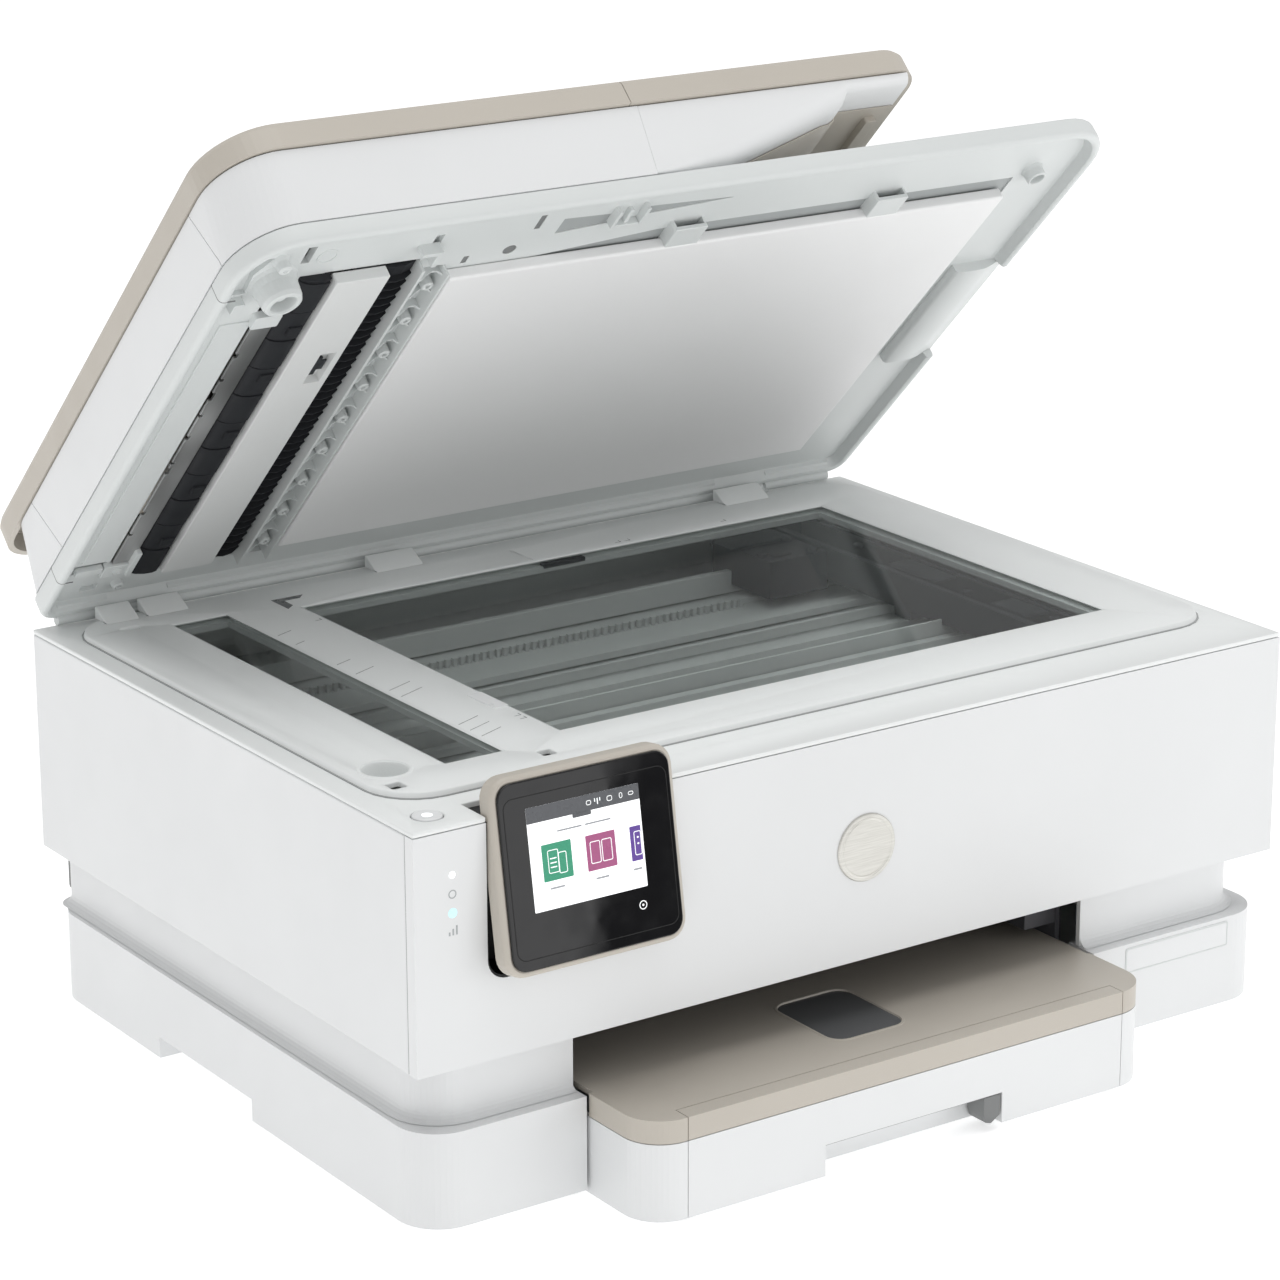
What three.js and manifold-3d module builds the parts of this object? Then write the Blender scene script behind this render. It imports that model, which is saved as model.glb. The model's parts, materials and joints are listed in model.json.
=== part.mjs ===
// All-in-one inkjet printer: base with paper trays and print engine, lifting scanner module,
// and a lid that carries the automatic document feeder.
// Millimetres. +X right, +Y back, +Z up while building; the front panel's face is y = 0, the
// ground is z = 0 and x = 0 is the middle. The last lines move the origin to the middle of the
// bottom of the overall box.
import * as THREE from "three";
import { ConvexGeometry } from "three/addons/geometries/ConvexGeometry.js";
import { mergeVertices } from "three/addons/utils/BufferGeometryUtils.js";
import Module from "manifold-3d";

const wasm = await Module();
wasm.setup();

// ---------------------------------------------------------------- driving dimensions
const HALF_W = 230;            // half the width of the scanner module
const DEPTH = 328;             // depth of the scanner module
const WALL = 2.5;              // moulded wall
const GAP = 0.3;               // gap between touching pieces

const TUB_BOTTOM = 4.5;
const TUB_TOP = 46.7;
const TUB_HALF = 228.5;
const TUB_REAR = 324;
const WAIST_TOP = 73.6;
const WAIST_HALF = 222;
const WAIST_FRONT = 9.5;
const WAIST_REAR = 322;
const WAIST_RADII = [20, 20, 6, 6];

const BAY_LEFT = -147.5;       // tray module, the block that stands out of the front
const BAY_RIGHT = 122.3;
const BAY_FRONT = -43;
const BAY_BOTTOM = 2.5;
const BAY_TOP = 36.9;
const BAY_REAR = 272;
const BAY_RADIUS = 18;
const SEAM_LEFT = -128;        // edges of the drawer front between the fixed corners
const SEAM_RIGHT = 105;
const OPENING_LEFT = -149;
const OPENING_RIGHT = 124.5;
const OUTPUT_TOP = 47.5;       // top face of the output tray
const LIP_SEAM = -34;          // rear edge of the pull-out lip

const SCAN_BOTTOM = 74;
const DECK_Z = 178.5;
const DECK_UNDER = 176.4;
const PLATFORM_Z = 181.2;      // raised face round the glasses
const PLATFORM = { x0: -219.5, x1: 221, y0: 30, y1: 318, r: 24 };
const GLASS = { x0: -117, x1: 183, y0: 66, y1: 281.5 };
const STRIP_GLASS = { x0: -179, x1: -149.5, y0: 57.5, y1: 291 };
const SOCKET = { x: -202.5, y: 66, r: 9.8 };
const FRONT_PLATE = 6;         // depth of the front panel with its returns

const PANEL = { x0: -195, x1: -106.7, below: -76.5, above: 6, r: 9 };
const PANEL_PIVOT = { y: 8, z: 186 };
const PANEL_TILT = 9.3;        // degrees, bottom edge out
const POCKET = { x0: -195.8, x1: -105.9, z0: 108.3, depth: 19 };

const LID_HINGE = { y: 326, z: 181.5 };
const LID_OPEN = 45;           // degrees
const HINGE_R = 2.6;
const LID_HALF = 229;
const LID_LENGTH = 296;
const LID_RADIUS = 28;
const LID_TOP = 9.5;
const LID_RIM = 0.2;           // lower edge of the rim, chamfered on the outside
const RIM_CHAMFER = 2.4;
const FEEDER_TOP = 39.6;       // top of the white shell, measured from the hinge plane
const FEEDER_LENGTH = 304;     // at the top, where the shell flares out under the cap
const CAP_BOTTOM = 40.2;
const CAP_TOP = 53;
const CAP_FRONT = 306;
const CAP_REAR = 10;           // the cap overhangs the hinge line
const CAP_SEAM = -30;          // between the two halves of the cap
const CAP_RIGHT = 129.5;
const TRAY_RIGHT = 120;        // right edge of the document tray
const RAMP_END = 87;
const TRAY_WALL_X = -26;       // where the document tray meets the feeder shell

const SHAFT_Z = 57;            // paper path shafts
const FEED_Y = 164;
const GEAR_PITCH = 13.5;
const GEAR_TEETH = 24;
const IDLER_Y = FEED_Y - 2 * GEAR_PITCH;
const OUTPUT_Y = FEED_Y - 4 * GEAR_PITCH;
const PLATE_X = 189;           // inner faces of the chassis side plates
const SHAFT_R = 3;

const BELT_Y = 190;
const BELT_Z = 115;
const PULLEY_R = 6;
const MOTOR_X = 175;

// ---------------------------------------------------------------- solids
function solid(geometry) {
  const bare = geometry.index ? geometry.toNonIndexed() : geometry.clone();
  bare.deleteAttribute("normal");
  bare.deleteAttribute("uv");
  const merged = mergeVertices(bare, 1e-4);
  return new wasm.Manifold(new wasm.Mesh({
    numProp: 3,
    vertProperties: new Float32Array(merged.attributes.position.array),
    triVerts: new Uint32Array(merged.index.array),
  }));
}

function geometryOf(manifold) {
  const mesh = manifold.getMesh();
  const geometry = new THREE.BufferGeometry();
  geometry.setAttribute("position", new THREE.BufferAttribute(mesh.vertProperties, 3));
  geometry.setIndex(new THREE.BufferAttribute(mesh.triVerts, 1));
  geometry.computeVertexNormals();
  return geometry;
}

function box(x0, x1, y0, y1, z0, z1) {
  const geometry = new THREE.BoxGeometry(x1 - x0, y1 - y0, z1 - z0);
  geometry.translate((x0 + x1) / 2, (y0 + y1) / 2, (z0 + z1) / 2);
  return solid(geometry);
}

// Rounded rectangle in plan; r is one radius, or [front left, front right, back right, back left].
function roundedShape(x0, x1, y0, y1, r) {
  const [fl, fr, br, bl] = Array.isArray(r) ? r : [r, r, r, r];
  const shape = new THREE.Shape();
  shape.moveTo(x0 + fl, y0);
  shape.lineTo(x1 - fr, y0);
  if (fr) shape.absarc(x1 - fr, y0 + fr, fr, -Math.PI / 2, 0);
  shape.lineTo(x1, y1 - br);
  if (br) shape.absarc(x1 - br, y1 - br, br, 0, Math.PI / 2);
  shape.lineTo(x0 + bl, y1);
  if (bl) shape.absarc(x0 + bl, y1 - bl, bl, Math.PI / 2, Math.PI);
  shape.lineTo(x0, y0 + fl);
  if (fl) shape.absarc(x0 + fl, y0 + fl, fl, Math.PI, 1.5 * Math.PI);
  return shape;
}

function slab(x0, x1, y0, y1, z0, z1, r, segments = 5) {
  const geometry = new THREE.ExtrudeGeometry(roundedShape(x0, x1, y0, y1, r), {
    depth: z1 - z0,
    bevelEnabled: false,
    curveSegments: segments,
  });
  geometry.translate(0, 0, z0);
  return solid(geometry);
}

// Convex block round a stack of rounded rectangles, each given with its height.
function stack(layers, segments = 5) {
  const points = layers.flatMap(([outline, z]) =>
    roundedShape(...outline).getPoints(segments).map((p) => new THREE.Vector3(p.x, p.y, z)));
  return solid(new ConvexGeometry(points));
}

function taper(low, z0, high, z1, segments = 5) {
  return stack([[low, z0], [high, z1]], segments);
}

// The outline shrunk by d on all sides, with its corner radii.
function inset([x0, x1, y0, y1, radii], d) {
  return [x0 + d, x1 - d, y0 + d, y1 - d, radii.map((r) => Math.max(r - d, 0))];
}

// Prism with an outline in the X-Z plane, running from y0 to y1.
function prismY(outline, y0, y1) {
  const shape = new THREE.Shape(outline.map(([x, z]) => new THREE.Vector2(x, z)));
  const geometry = new THREE.ExtrudeGeometry(shape, { depth: y1 - y0, bevelEnabled: false });
  geometry.rotateX(Math.PI / 2);
  geometry.translate(0, y1, 0);
  return solid(geometry);
}

// Prism with an outline in the Y-Z plane, running from x0 to x1.
function prismX(outline, x0, x1) {
  return prismY(outline, -x1, -x0).rotate([0, 0, 90]);
}

function cylinder(axis, r, from, to, u, v, sides = 16) {
  const geometry = new THREE.CylinderGeometry(r, r, to - from, sides);
  if (axis === "x") {
    geometry.rotateZ(-Math.PI / 2);
    geometry.translate((from + to) / 2, u, v);
  } else if (axis === "y") {
    geometry.translate(u, (from + to) / 2, v);
  } else {
    geometry.rotateX(Math.PI / 2);
    geometry.translate(u, v, (from + to) / 2);
  }
  return solid(geometry);
}

// Spur gear turning about X, with straight-sided teeth; phase in teeth.
function gear(x0, x1, y, z, phase) {
  const outer = GEAR_PITCH + 0.9;
  const root = GEAR_PITCH - 1.3;
  const step = 2 * Math.PI / GEAR_TEETH;
  const shape = new THREE.Shape();
  for (let tooth = 0; tooth < GEAR_TEETH; tooth += 1) {
    const middle = (tooth + phase) * step;
    for (const [radius, part] of [[root, -0.3], [outer, -0.13], [outer, 0.13], [root, 0.3]]) {
      const angle = middle + part * step;
      const point = [radius * Math.cos(angle), radius * Math.sin(angle)];
      if (tooth === 0 && part === -0.3) shape.moveTo(...point);
      else shape.lineTo(...point);
    }
  }
  const geometry = new THREE.ExtrudeGeometry(shape, { depth: x1 - x0, bevelEnabled: false });
  geometry.rotateX(Math.PI / 2);
  geometry.rotateZ(Math.PI / 2);
  geometry.translate(x0, y, z);
  return solid(geometry);
}

function join(...parts) {
  return parts.reduce((whole, part) => whole.add(part));
}

function cut(whole, ...parts) {
  return parts.reduce((left, part) => left.subtract(part), whole);
}

// ---------------------------------------------------------------- materials
const COLOURS = {
  white: [0xeef0f0, 0.42, 0],
  light: [0xd6dbda, 0.5, 0],
  beige: [0xcabfb3, 0.45, 0],
  charcoal: [0x34373b, 0.55, 0],
  black: [0x101113, 0.25, 0],
  grey: [0x85888a, 0.6, 0],
  steel: [0xb4b7b9, 0.35, 1],
  rubber: [0x2a2a2a, 0.9, 0],
  glass: [0xbfc8c8, 0.05, 0],
  smoke: [0x6d7072, 0.1, 0],
  green: [0x1f5a3c, 0.5, 0],
  blue: [0x39588a, 0.5, 0],
};

const machine = new THREE.Group();
const lid = new THREE.Group();
lid.position.set(0, LID_HINGE.y, LID_HINGE.z);
lid.rotation.x = -THREE.MathUtils.degToRad(LID_OPEN);
machine.add(lid);
const panel = new THREE.Group();
panel.position.set(0, PANEL_PIVOT.y, PANEL_PIVOT.z);
panel.rotation.x = -THREE.MathUtils.degToRad(PANEL_TILT);
machine.add(panel);

function add(name, colour, manifold, parent = machine) {
  const [color, roughness, metalness] = COLOURS[colour];
  const material = new THREE.MeshStandardMaterial({ color, roughness, metalness });
  const mesh = new THREE.Mesh(geometryOf(manifold), material);
  mesh.name = name;
  parent.add(mesh);
}

// ---------------------------------------------------------------- base
function baseTub() {
  const recess = { y0: 140, y1: 223, x: 196, z: 14.5 };
  const outer = slab(-TUB_HALF, TUB_HALF, -0.5, TUB_REAR, TUB_BOTTOM, TUB_TOP, 20, 6);
  const inside = slab(-TUB_HALF + 3, TUB_HALF - 3, 2.5, TUB_REAR - 3, TUB_BOTTOM + 3, TUB_TOP - 2.5, 17, 6);
  const mouth = slab(-WAIST_HALF + 6, WAIST_HALF - 6, 16.5, WAIST_REAR - 6, 20, TUB_TOP + 1, [14, 14, 3, 3]);
  let tub = cut(outer, inside, mouth);
  for (const side of [-1, 1]) {
    const [a, b] = side < 0 ? [-TUB_HALF + 1, -recess.x + 2] : [recess.x - 2, TUB_HALF - 1];
    tub = tub.add(box(a, b, recess.y0 - 2.5, recess.y1 + 2.5, TUB_BOTTOM, recess.z + 2.5));
    const [c, d] = side < 0 ? [-240, -recess.x] : [recess.x, 240];
    tub = tub.subtract(box(c, d, recess.y0, recess.y1, 0, recess.z));
  }
  return cut(
    tub,
    box(OPENING_LEFT, OPENING_RIGHT, -5, 17, 0, 60),
    box(OPENING_LEFT, OPENING_RIGHT, 10, BAY_REAR + 4, 0, 12),
    box(-125, 105, TUB_REAR - 8, TUB_REAR + 5, 12, 43),
    box(147.7, 172.3, TUB_REAR - 8, TUB_REAR + 5, 15.7, 34.3),
  );
}

function waistFrame() {
  const outline = [-WAIST_HALF, WAIST_HALF, WAIST_FRONT, WAIST_REAR, WAIST_RADII];
  const ring = (d, z0, z1) => {
    const [x0, x1, y0, y1, r] = inset(outline, d);
    return slab(x0, x1, y0, y1, z0, z1, r, 6);
  };
  return cut(
    ring(0, TUB_TOP + GAP, WAIST_TOP),
    ring(WALL, TUB_TOP - 5, WAIST_TOP - 2),
    ring(8, 60, 90),
    box(OPENING_LEFT, OPENING_RIGHT, 0, 22, 40, 90),
  );
}

function powerInlet() {
  const shell = join(box(148, 172, 308, TUB_REAR, 16, 34), box(145, 175, 317.5, 320.4, 14.6, 35.4));
  const socket = slab(151, 169, 19.5, 30.5, -TUB_REAR - 1, -312, 5.4, 4).rotate([90, 0, 0]);
  const pins = [155.5, 164.5].map((x) => cylinder("y", 1.1, 311, 321, x, 25, 8));
  return join(cut(shell, socket), ...pins);
}

function mainBoard() {
  const board = box(-212, -210.4, 104, 234, 18, 70);
  const parts = [
    box(-210.6, -207.5, 150, 168, 30, 48),
    box(-210.6, -207.9, 186, 196, 34, 52),
    box(-210.6, -204.5, 110, 124, 52, 62),
    box(-210.6, -204, 205, 226, 20, 28),
    cylinder("x", 4, -210.6, -202, 140, 24, 10),
  ];
  return join(board, ...parts);
}

function rearDoor() {
  const plate = box(-124.5, 104.5, TUB_REAR - 3.2, TUB_REAR, 12.6, 42.4);
  const rim = cut(
    box(-122, 102, TUB_REAR - 7.5, TUB_REAR - 3, 15, 40),
    box(-119.5, 99.5, TUB_REAR - 9, TUB_REAR - 3.2, 17.5, 37.5),
  );
  const grip = box(-35, 15, TUB_REAR - 1.4, TUB_REAR + 1, 31, 37);
  return cut(join(plate, rim), grip);
}

function buildBase() {
  add("base_tub", "white", baseTub());
  add("waist_frame", "white", waistFrame());
  for (const [index, x, y] of [[1, -205, 26], [2, 205, 26], [3, -205, 298], [4, 205, 298]]) {
    add(`foot_${index}`, "rubber", cylinder("z", 9, 0, TUB_BOTTOM - GAP, x, y, 16));
  }
  add("rear_door", "white", rearDoor());
  add("power_inlet", "black", powerInlet());
  add("main_board", "green", mainBoard());
  add("power_supply", "charcoal", box(128, 208, 244, 302, 8.5, 40));
}

// ---------------------------------------------------------------- trays
function trayBay() {
  const outer = slab(BAY_LEFT, BAY_RIGHT, BAY_FRONT, BAY_REAR, BAY_BOTTOM, BAY_TOP,
    [BAY_RADIUS, BAY_RADIUS, 0, 0], 6);
  const inside = box(BAY_LEFT + WALL, BAY_RIGHT - WALL, -18, BAY_REAR - WALL, BAY_BOTTOM + 2, 60);
  const drawerFront = box(SEAM_LEFT, SEAM_RIGHT, -60, 30, 0, 60);
  return cut(outer, inside, drawerFront);
}

function outputTray() {
  const front = slab(BAY_LEFT, BAY_RIGHT, BAY_FRONT, 0, BAY_TOP + 0.4, OUTPUT_TOP,
    [BAY_RADIUS, BAY_RADIUS, 0, 0], 6);
  const plate = box(-145.3, 121.3, -1, 92, OUTPUT_TOP - 2.5, OUTPUT_TOP);
  const under = slab(BAY_LEFT + 3, BAY_RIGHT - 3, BAY_FRONT + 3, 5, 30, OUTPUT_TOP - 2.5,
    [BAY_RADIUS - 3, BAY_RADIUS - 3, 0, 0], 6);
  const lip = box(SEAM_LEFT, SEAM_RIGHT, BAY_FRONT - 5, LIP_SEAM, 30, 60);
  const window = slab(-32, 8, -16, 32, 40, 60, 8, 4);
  return cut(join(cut(front, under), plate), lip, window);
}

function outputExtender() {
  const lip = slab(SEAM_LEFT + 0.4, SEAM_RIGHT - 0.4, BAY_FRONT, LIP_SEAM - 0.4,
    BAY_TOP + 0.4, OUTPUT_TOP, 0, 2);
  const hollow = box(SEAM_LEFT + 3, SEAM_RIGHT - 3, BAY_FRONT + 3, LIP_SEAM + 5, 30, 41.6);
  return join(cut(lip, hollow), box(-105, 85, LIP_SEAM - 2, 85, 41.4, 43.6));
}

function paperTray() {
  const x0 = SEAM_LEFT + 0.4;
  const x1 = SEAM_RIGHT - 0.4;
  const floor = BAY_BOTTOM + 2.8;
  const front = box(x0, x1, BAY_FRONT, BAY_FRONT + 3, BAY_BOTTOM, BAY_TOP);
  const hold = { x0: -57.4, x1: 37.8, z: 16.8, y: -30 };
  const body = cut(
    box(x0 + 1.5, x1 - 1.5, BAY_FRONT + 2, 266, floor, 30),
    box(x0 + 4, x1 - 4, BAY_FRONT + 5, 264, floor + 2, 60),
  );
  const housing = box(hold.x0 - 2, hold.x1 + 2, BAY_FRONT + 1, hold.y + 2, floor - 2.8, hold.z + 2);
  const slot = box(hold.x0, hold.x1, BAY_FRONT - 3, hold.y, 0, hold.z);
  return cut(join(front, body, housing), slot);
}

function paperGuide(side) {
  const x = -11.5 + side * 108.5;
  const [a, b] = side < 0 ? [x, x + 26] : [x - 26, x];
  const [c, d] = side < 0 ? [x, x + 2] : [x - 2, x];
  return join(box(a, b, 48, 92, 7.8, 9.6), box(c, d, 44, 96, 7.8, 26));
}

function buildTrays() {
  add("tray_bay", "white", trayBay());
  add("output_tray", "beige", outputTray());
  add("output_window", "smoke", slab(-31.7, 7.7, -15.7, 31.7, OUTPUT_TOP - 2.2, OUTPUT_TOP - 0.5, 7.7, 4));
  add("output_extender", "beige", outputExtender());
  add("paper_tray", "white", paperTray());
  add("paper_guide_left", "blue", paperGuide(-1));
  add("paper_guide_right", "blue", paperGuide(1));
  add("paper_stop", "blue", join(box(-30, 8, 8, 44, 7.8, 9.6), box(-30, 8, 8, 10, 7.8, 24)));
}

// ---------------------------------------------------------------- print engine
function cavityLiner() {
  const outer = box(-148.4, 124, 23, 104, 46.2, 73.2);
  const inside = box(-145.9, 121.6, 0, 120, 40, 70.7);
  const corner = box(104, 122, 23.5, 62, 55, 71);
  return join(cut(outer, inside), corner);
}

function chassis() {
  let frame = box(-PLATE_X, PLATE_X, 236, 238, 42, 122);
  for (const side of [-1, 1]) {
    const [a, b] = side < 0 ? [-PLATE_X - 2, -PLATE_X] : [PLATE_X, PLATE_X + 2];
    frame = frame.add(box(a, b, 98, 238, 42, 122));
  }
  const bores = [[OUTPUT_Y, SHAFT_Z], [IDLER_Y, SHAFT_Z], [FEED_Y, SHAFT_Z]];
  for (const [y, z] of bores) {
    frame = frame.subtract(cylinder("x", SHAFT_R + 0.6, -200, 200, y, z, 12));
  }
  return frame;
}

function carriageRail() {
  return join(
    box(-PLATE_X + GAP, 158, 178.2, 180.2, 84, 104),
    box(-PLATE_X + GAP, 158, 178.2, 235.6, 84, 86),
  );
}

function printPlaten() {
  const plate = box(-183, 126, OUTPUT_Y + 8, FEED_Y - 9, 40, 55);
  return cut(plate, box(-190, 130, OUTPUT_Y + 10, FEED_Y - 11, 30, 52.5));
}

function roller(y, radius, phase) {
  const shaft = cylinder("x", SHAFT_R, -197, PLATE_X + 4, y, SHAFT_Z, 12);
  const cover = cylinder("x", radius, -140, 118, y, SHAFT_Z, 20);
  return join(shaft, cover, gear(-197, -193, y, SHAFT_Z, phase));
}

function idlerGear() {
  const shaft = cylinder("x", SHAFT_R, -197, -PLATE_X + 4, IDLER_Y, SHAFT_Z, 12);
  return join(shaft, gear(-197, -193, IDLER_Y, SHAFT_Z, 0.5));
}

const CARRIAGE = { x0: 103, x1: 185, y0: 116, y1: 176, z0: 65, z1: 110 };
const NOZZLE_Z = 61.4;

function printCarriage() {
  const { x0, x1, y0, y1, z0, z1 } = CARRIAGE;
  const middle = (x0 + x1) / 2;
  const body = box(x0, x1, y0, y1, z0, z1);
  const bays = [
    box(x0 + 3, middle - 1.5, y0 - 1, y1 - 10, z0 + 3, z1 + 1),
    box(middle + 1.5, x1 - 3, y0 - 1, y1 - 10, z0 + 3, z1 + 1),
  ];
  const nozzles = [
    box(x0 + 12, middle - 10, y0 + 6, y0 + 26, z0 - 1, z0 + 4),
    box(middle + 10, x1 - 12, y0 + 6, y0 + 26, z0 - 1, z0 + 4),
  ];
  const hook = join(
    box(116, 150, y1 - 4, 186, 104.8, 107.4),
    box(116, 150, 181, 183.2, 92, 107.4),
  );
  const clamp = cut(
    box(124, 142, y1 - 2, 186.5, 105, 121.5),
    box(120, 146, 182.1, 190, BELT_Z - 3.4, BELT_Z + 3.4),
  );
  return join(cut(body, ...bays, ...nozzles), hook, clamp);
}

function cartridge(x0, x1) {
  const { y0, z0, z1 } = CARRIAGE;
  const tank = box(x0, x1, y0 + 0.5, y0 + 46, z0 + 3.4, z1 - 4);
  const head = box(x0 + 9.5, x1 - 9.5, y0 + 7, y0 + 25, NOZZLE_Z, z0 + 4);
  const grip = box(x0 + 8, x1 - 8, y0 - 3, y0 + 1, z1 - 14, z1 - 8);
  return join(tank, head, grip);
}

function latch(x0, x1) {
  const { y0, y1, z1 } = CARRIAGE;
  const lidPlate = box(x0, x1, y0 - 2, y1 - 12, z1 + 0.6, z1 + 2.8);
  const tab = box(x0 + 10, x1 - 10, y0 - 5, y0 - 1.6, z1 - 4, z1 + 2.8);
  const pin = cylinder("x", 1.8, x0, x1, y1 - 12, z1 + 2.4, 10);
  return join(lidPlate, tab, pin);
}

function driveBelt() {
  const loop = (r, half) =>
    slab(-MOTOR_X - r, MOTOR_X + r, BELT_Y - r, BELT_Y + r, BELT_Z - half, BELT_Z + half, r, 6);
  return cut(loop(PULLEY_R + 1.5, 2.5), loop(PULLEY_R + 0.4, 5));
}

function pulley(x) {
  return join(
    cylinder("z", PULLEY_R, BELT_Z - 3, BELT_Z + 3, x, BELT_Y, 16),
    cylinder("z", PULLEY_R + 1.6, BELT_Z - 4, BELT_Z - 2.9, x, BELT_Y, 16),
    cylinder("z", PULLEY_R + 1.6, BELT_Z + 2.9, BELT_Z + 4, x, BELT_Y, 16),
  );
}

function carriageMotor() {
  return join(
    cylinder("z", 12, 78, 109, MOTOR_X, BELT_Y, 20),
    box(MOTOR_X - 14, MOTOR_X + 13, BELT_Y - 9, 235.6, 78, 80),
  );
}

function serviceStation() {
  const shell = cut(
    box(130, 187, 114, 156, 10, 56),
    box(133, 184, 117, 153, 14, 60),
  );
  const caps = [box(137, 156, 120, 146, 12, 58.5), box(161, 180, 120, 146, 12, 58.5)];
  return join(shell, ...caps);
}

function buildEngine() {
  add("cavity_liner", "charcoal", cavityLiner());
  add("chassis", "steel", chassis());
  add("carriage_rail", "steel", carriageRail());
  add("print_platen", "black", printPlaten());
  add("feed_roller", "rubber", roller(FEED_Y, 6, 0));
  add("idler_gear", "light", idlerGear());
  add("output_roller", "rubber", roller(OUTPUT_Y, 5, 0));
  add("print_carriage", "charcoal", printCarriage());
  const middle = (CARRIAGE.x0 + CARRIAGE.x1) / 2;
  add("cartridge_colour", "black", cartridge(CARRIAGE.x0 + 4, middle - 2.5));
  add("cartridge_black", "black", cartridge(middle + 2.5, CARRIAGE.x1 - 4));
  add("latch_colour", "light", latch(CARRIAGE.x0 + 2, middle - 1));
  add("latch_black", "light", latch(middle + 1, CARRIAGE.x1 - 2));
  add("drive_belt", "rubber", driveBelt());
  add("carriage_motor", "steel", carriageMotor());
  add("motor_pulley", "light", pulley(MOTOR_X));
  add("idler_pulley", "light", pulley(-MOTOR_X));
  add("service_station", "charcoal", serviceStation());
}

// ---------------------------------------------------------------- scanner module
function scannerShell() {
  const outer = box(-HALF_W, HALF_W, FRONT_PLATE + 0.4, DEPTH, SCAN_BOTTOM, DECK_UNDER - GAP);
  const inside = box(-HALF_W + WALL, HALF_W - WALL, -5, DEPTH - WALL, 60, 190);
  return cut(outer, inside);
}

function frontPanel() {
  const outer = box(-HALF_W, HALF_W, 0, FRONT_PLATE, SCAN_BOTTOM, DECK_UNDER - GAP);
  const back = box(-HALF_W + WALL, HALF_W - WALL, WALL, 20, SCAN_BOTTOM + WALL, 190);
  const rim = box(POCKET.x0 - WALL, POCKET.x1 + WALL, 1, FRONT_PLATE, POCKET.z0 - WALL, DECK_UNDER - GAP);
  const opening = slab(POCKET.x0, POCKET.x1, POCKET.z0, 230, -20, 20, [9, 9, 0, 0], 4)
    .rotate([90, 0, 0]);
  return cut(join(cut(outer, back), rim), opening);
}

function topDeck() {
  const { x0, x1, y0, y1, r } = PLATFORM;
  const plate = box(-HALF_W, HALF_W, 0, DEPTH, DECK_UNDER, DECK_Z);
  const crown = [x0 + 1, x1 - 1, y0 + 1, y1 - 1, r];
  const platform = taper([x0, x1, y0, y1, r], DECK_UNDER, crown, PLATFORM_Z, 6);
  const under = slab(x0 + 3.5, x1 - 3.5, y0 + 3.5, y1 - 3.5, 170, PLATFORM_Z - WALL, r - 4, 4);
  const pocketWall = box(POCKET.x0 - 2, POCKET.x1 + 2, 8, POCKET.depth + 2, 116, DECK_Z);
  const pocket = box(POCKET.x0, POCKET.x1, -5, POCKET.depth, 100, 190);
  const cup = cylinder("z", SOCKET.r + 2, 168, PLATFORM_Z - 1, SOCKET.x, SOCKET.y, 20);
  const cupHole = cylinder("z", SOCKET.r, 170, 190, SOCKET.x, SOCKET.y, 20);
  return cut(
    join(cut(join(plate, platform), under), pocketWall, cup),
    pocket,
    cupHole,
    box(GLASS.x0, GLASS.x1, GLASS.y0, GLASS.y1, 160, 190),
    box(STRIP_GLASS.x0, STRIP_GLASS.x1, STRIP_GLASS.y0, STRIP_GLASS.y1, 160, 190),
    box(-212.5, -205.5, 43, 50, 160, 190),
    box(-140, -133.5, 42.5, 49, 160, 190),
    cylinder("z", 6.8, 160, 190, -213.7, 15.3, 20),
  );
}

function scannerPan() {
  const outer = box(-222, 222, 24, 322, 146, 176);
  const inside = box(-220, 220, 26, 320, 148, 190);
  const shield = cut(
    slab(-214, 215, 38, 313, 174.6, 177.4, 18, 3),
    box(GLASS.x0 + 4, GLASS.x1 - 4, GLASS.y0 + 4, GLASS.y1 - 4, 160, 190),
    box(STRIP_GLASS.x0 + 2, STRIP_GLASS.x1 - 2, STRIP_GLASS.y0 + 4, STRIP_GLASS.y1 - 4, 160, 190),
    cylinder("z", SOCKET.r + 3, 160, 190, SOCKET.x, SOCKET.y, 16),
  );
  const posts = [[-221, 30], [210, 30], [-221, 306], [210, 306]]
    .map(([x, y]) => box(x, x + 11, y, y + 11, 147, 176));
  const rails = [112, 176].map((y) => box(-221, 221, y, y + 5, 147, 151.5));
  const rack = box(-221, 221, 252, 258, 147, 150.4);
  return join(cut(outer, inside), shield, ...posts, ...rails, rack);
}

function scanCarriage() {
  const bar = box(152, 178, 68, 290, 157.5, 173.8);
  const trough = box(156, 174, 72, 286, 164, 180);
  const gearbox = box(118, 153, 236, 284, 153, 172);
  const well = box(128, 142, 250.8, 259.2, 140, 164);
  const guides = [114.5, 178.5].map((y) => box(154, 176, y - 6, y + 6, 152.2, 158));
  return cut(join(cut(bar, trough), gearbox, ...guides), well);
}

function scanPinion() {
  return join(
    cylinder("y", 5, 252, 258, 135, 156, 16),
    cylinder("y", 2, 251.2, 258.8, 135, 156, 8),
  );
}

function panelShell() {
  const { x0, x1, below, above, r } = PANEL;
  const outer = slab(x0, x1, below, above, 1.5, 9.5, r, 5).rotate([90, 0, 0]);
  const back = slab(x0 + 3, x1 - 3, below + 3, above - 3, -1, 7, r - 3, 3).rotate([90, 0, 0]);
  const arm = box(-170, -132, -8, 1, -3, 3);
  const barrel = cylinder("x", 3, -170, -132, 0, 0, 14);
  return join(cut(outer, back), arm, barrel);
}

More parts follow.
